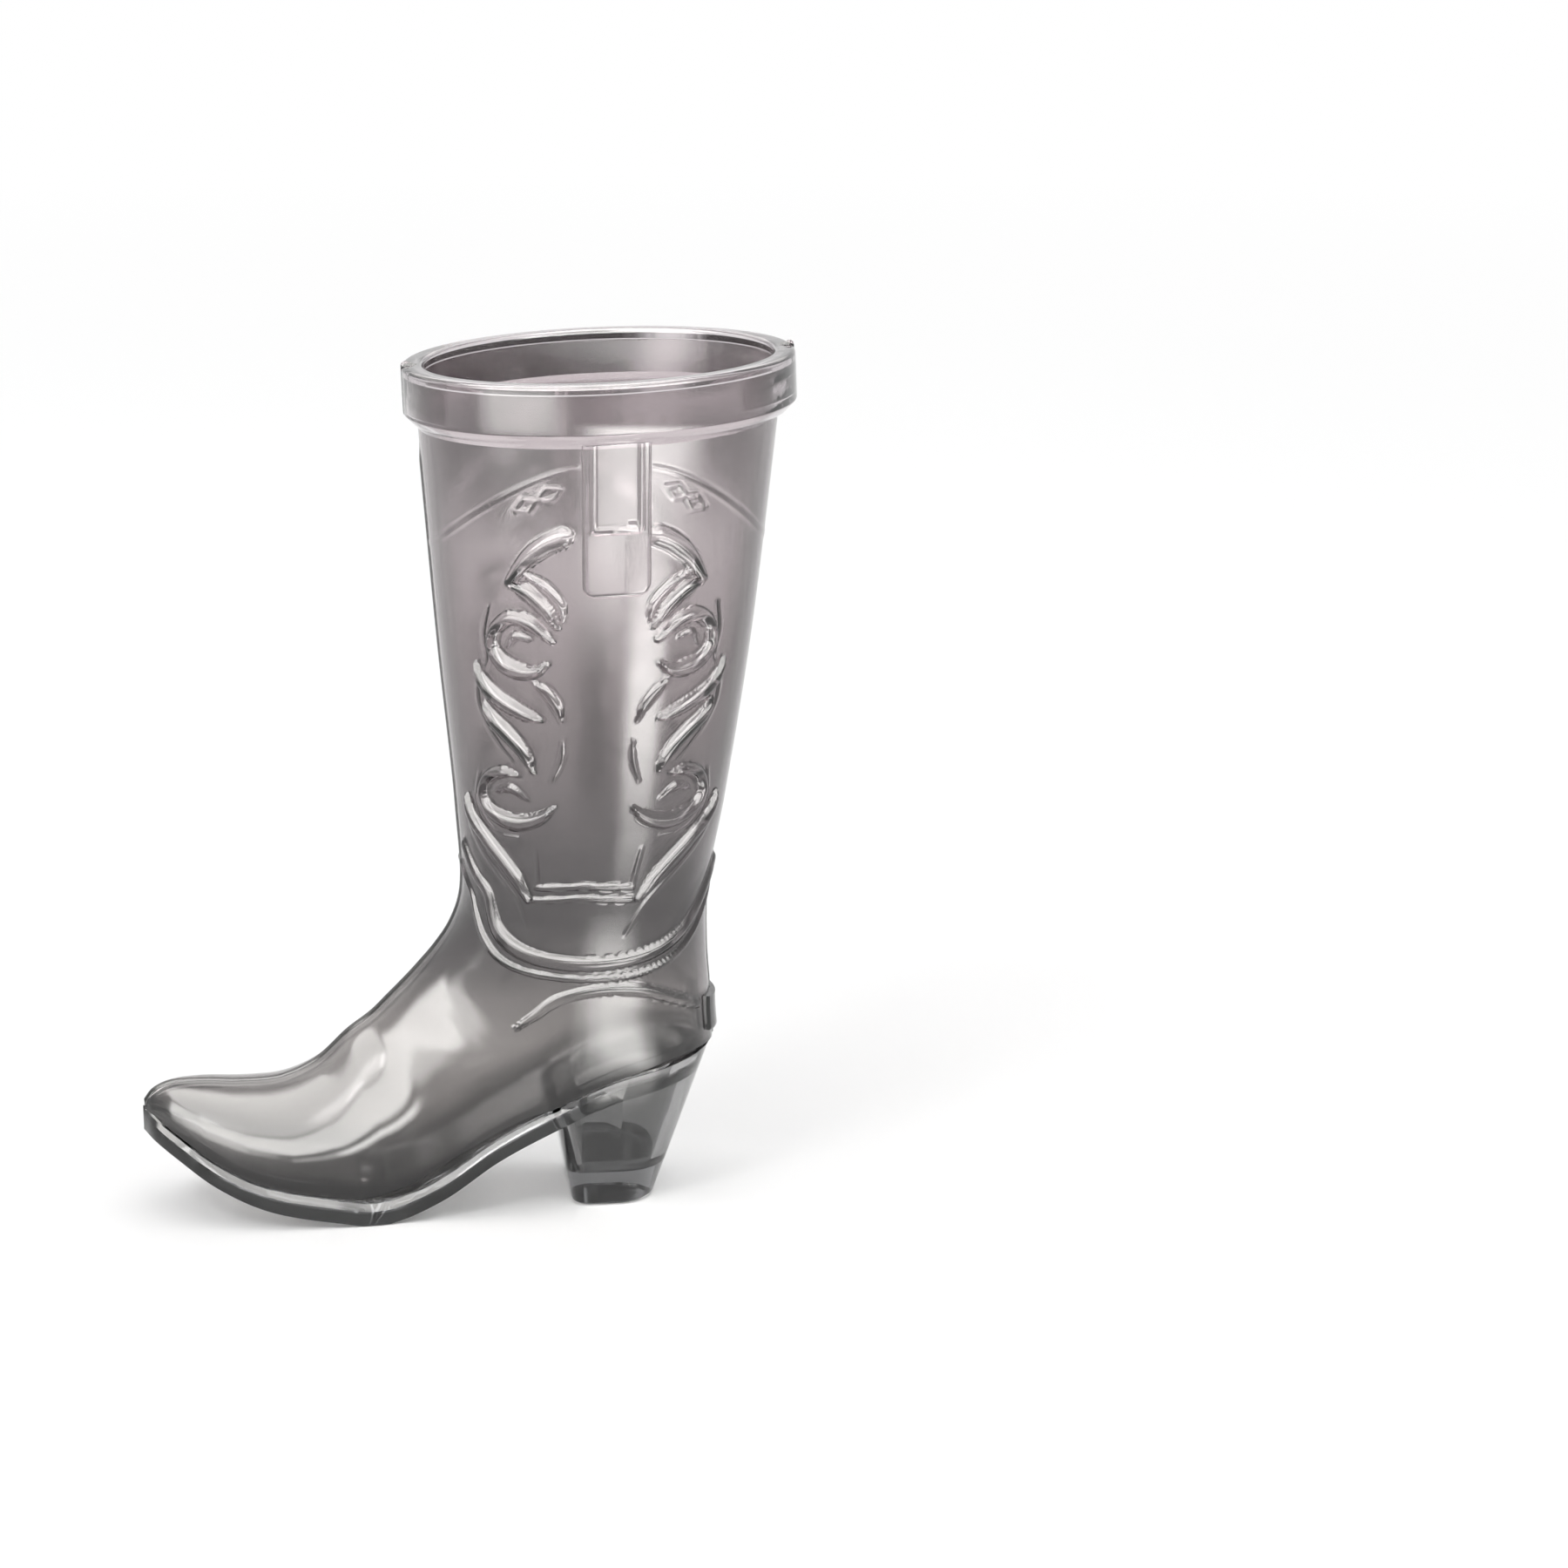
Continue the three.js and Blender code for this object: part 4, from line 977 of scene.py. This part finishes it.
def aim_at(thing, spot):
    thing.rotation_euler = (Vector(spot) - thing.location).to_track_quat("-Z", "Y").to_euler()


camera_data = bpy.data.cameras.new("camera")
camera = bpy.data.objects.new("camera", camera_data)
bpy.context.scene.collection.objects.link(camera)
camera_data.sensor_width = 36.0
camera_data.lens = camera_data.sensor_width * FOCAL_PIXELS / FRAME_PIXELS
camera.location = AIM + DISTANCE * back_to_eye
aim_at(camera, AIM)
bpy.context.scene.camera = camera

SOFTBOX_SIDE, SOFTBOX_POWER = 0.5, 6.0
lamp = bpy.data.lights.new("key_softbox", "AREA")
lamp.shape = "RECTANGLE"
lamp.size = lamp.size_y = SOFTBOX_SIDE
lamp.energy = SOFTBOX_POWER
softbox = bpy.data.objects.new("key_softbox", lamp)
bpy.context.scene.collection.objects.link(softbox)
softbox.location = (-0.9, -1.0, 1.6)
aim_at(softbox, (0, 0, 0.08))


def card(name, grid, low_glow, high_glow, fade, flag=False):
    """A bright card that shows only in reflections, or a flag seen only through the plastic. Its edges fade."""
    rows, around = grid.shape[:2]
    index = np.arange(rows * around).reshape(rows, around)
    faces = np.stack([index[:-1, :-1], index[:-1, 1:], index[1:, 1:], index[1:, :-1]], -1).reshape(-1, 4)
    mesh = bpy.data.meshes.new(name)
    mesh.from_pydata(grid.reshape(-1, 3).tolist(), [], faces.tolist())
    shares = [np.linspace(0, 1, count) for count in (rows, around)]
    edges = [np.clip(np.minimum(u, 1 - u) / fade, 0, 1) for u in shares]
    soft = [e * e * (3 - 2 * e) for e in edges]
    cover = soft[0][:, None] * soft[1][None, :]
    glow = np.repeat(np.linspace(low_glow, high_glow, rows)[:, None], around, axis=1)
    for layer, values in (("cover", cover), ("glow", glow)):
        mesh.attributes.new(layer, "FLOAT", "POINT").data.foreach_set("value", values.ravel())
    sheet = bpy.data.objects.new(name, mesh)
    bpy.context.scene.collection.objects.link(sheet)
    sheet.visible_camera = sheet.visible_diffuse = sheet.visible_shadow = False
    sheet.visible_transmission, sheet.visible_glossy = flag, not flag
    paint = bpy.data.materials.new(name)
    paint.use_nodes = True
    nodes, links = paint.node_tree.nodes, paint.node_tree.links
    nodes.remove(nodes["Principled BSDF"])
    strength, share = nodes.new("ShaderNodeAttribute"), nodes.new("ShaderNodeAttribute")
    strength.attribute_name, share.attribute_name = "glow", "cover"
    light, clear = nodes.new("ShaderNodeEmission"), nodes.new("ShaderNodeBsdfTransparent")
    light.inputs["Color"].default_value = (1.0, 0.988, 0.965, 1)
    blend = nodes.new("ShaderNodeMixShader")
    links.new(strength.outputs["Fac"], light.inputs["Strength"])
    links.new(share.outputs["Fac"], blend.inputs["Fac"])
    links.new(clear.outputs["BSDF"], blend.inputs[1])
    links.new(light.outputs["Emission"], blend.inputs[2])
    links.new(blend.outputs["Shader"], nodes["Material Output"].inputs["Surface"])
    mesh.materials.append(paint)


def curved_card(radius, start, end, low, high):
    turns, levels = np.meshgrid(np.radians(np.linspace(start, end, 61)), np.linspace(low, high, 25))
    return np.stack([radius * np.cos(turns), radius * np.sin(turns), levels], -1)


def flat_card(x_range, y_range, z_range):
    """A card across X that runs from its first Y and Z to its last."""
    u, v = np.meshgrid(np.linspace(0, 1, 41), np.linspace(0, 1, 41))
    spans = ((x_range, u), (y_range, v), (z_range, v))
    return np.stack([low + (high - low) * share for (low, high), share in spans], -1)


CARD_LIFT = 0.0008


def floor_card(start, end, near, far):
    """A card on the floor round the shaft's axis."""
    turns, reach = np.meshgrid(np.radians(np.linspace(start, end, 41)), np.linspace(near, far, 41))
    level = np.full(reach.shape, CARD_LIFT)
    return np.stack([mouth_x * MM + reach * np.cos(turns), reach * np.sin(turns), level], -1)


# A tall curved card round the toe's side and the front, two low ones near the foot, three on the floor, a high
# one on the far side and one overhead
card("tall_card", curved_card(1.35, 180, 330, 0.26, 1.25), 13.0, 10.5, 0.12)
card("toe_card", curved_card(0.48, 188, 256, 0.003, 0.19), 6.0, 8.5, 0.3)
card("foot_card", curved_card(0.48, 250, 342, 0.003, 0.085), 14.0, 14.0, 0.3)
card("streak_card", floor_card(282, 320, 0.125, 0.42), 13.0, 13.0, 0.35)
card("counter_card", floor_card(258, 318, 0.045, 0.13), 11.0, 11.0, 0.4)
card("strap_card", floor_card(246, 326, 0.30, 0.70), 8.0, 8.0, 0.35)
card("far_card", curved_card(1.35, 30, 175, 0.55, 1.4), 2.2, 2.2, 0.2)
card("overhead_card", flat_card((-1.8, 0.8), (-1.9, 1.2), (1.5, 1.5)), 8.5, 8.5, 0.22)

# Grey flags behind the cup, out of the picture, which draw its edges, the far rim and a streak of the shaft
card("right_flag", curved_card(0.24, -4, 62, 0.0, 0.148), 0.3, 0.3, 0.15, flag=True)
card("left_flag", curved_card(0.24, 104, 169, 0.0, 0.148), 0.3, 0.3, 0.15, flag=True)
card("left_rim_flag", flat_card((-0.08, 0.084), (0.30, 0.30), (0.09, 0.19)), 0.05, 0.05, 0.1, flag=True)
card("right_rim_flag", flat_card((0.087, 0.23), (0.30, 0.30), (0.09, 0.19)), 0.05, 0.05, 0.1, flag=True)
card("collar_flag", flat_card((0.027, 0.046), (0.09, 0.09), (0.148, 0.174)), 0.2, 0.2, 0.35, flag=True)
card("streak_flag", flat_card((0.031, 0.043), (0.09, 0.09), (0.05, 0.125)), 0.2, 0.2, 0.35, flag=True)

bpy.context.scene.view_settings.view_transform = "Standard"
light_paths = bpy.context.scene.cycles
light_paths.max_bounces = 24
light_paths.transmission_bounces = 20
light_paths.glossy_bounces = 8
light_paths.blur_glossy = 0.0
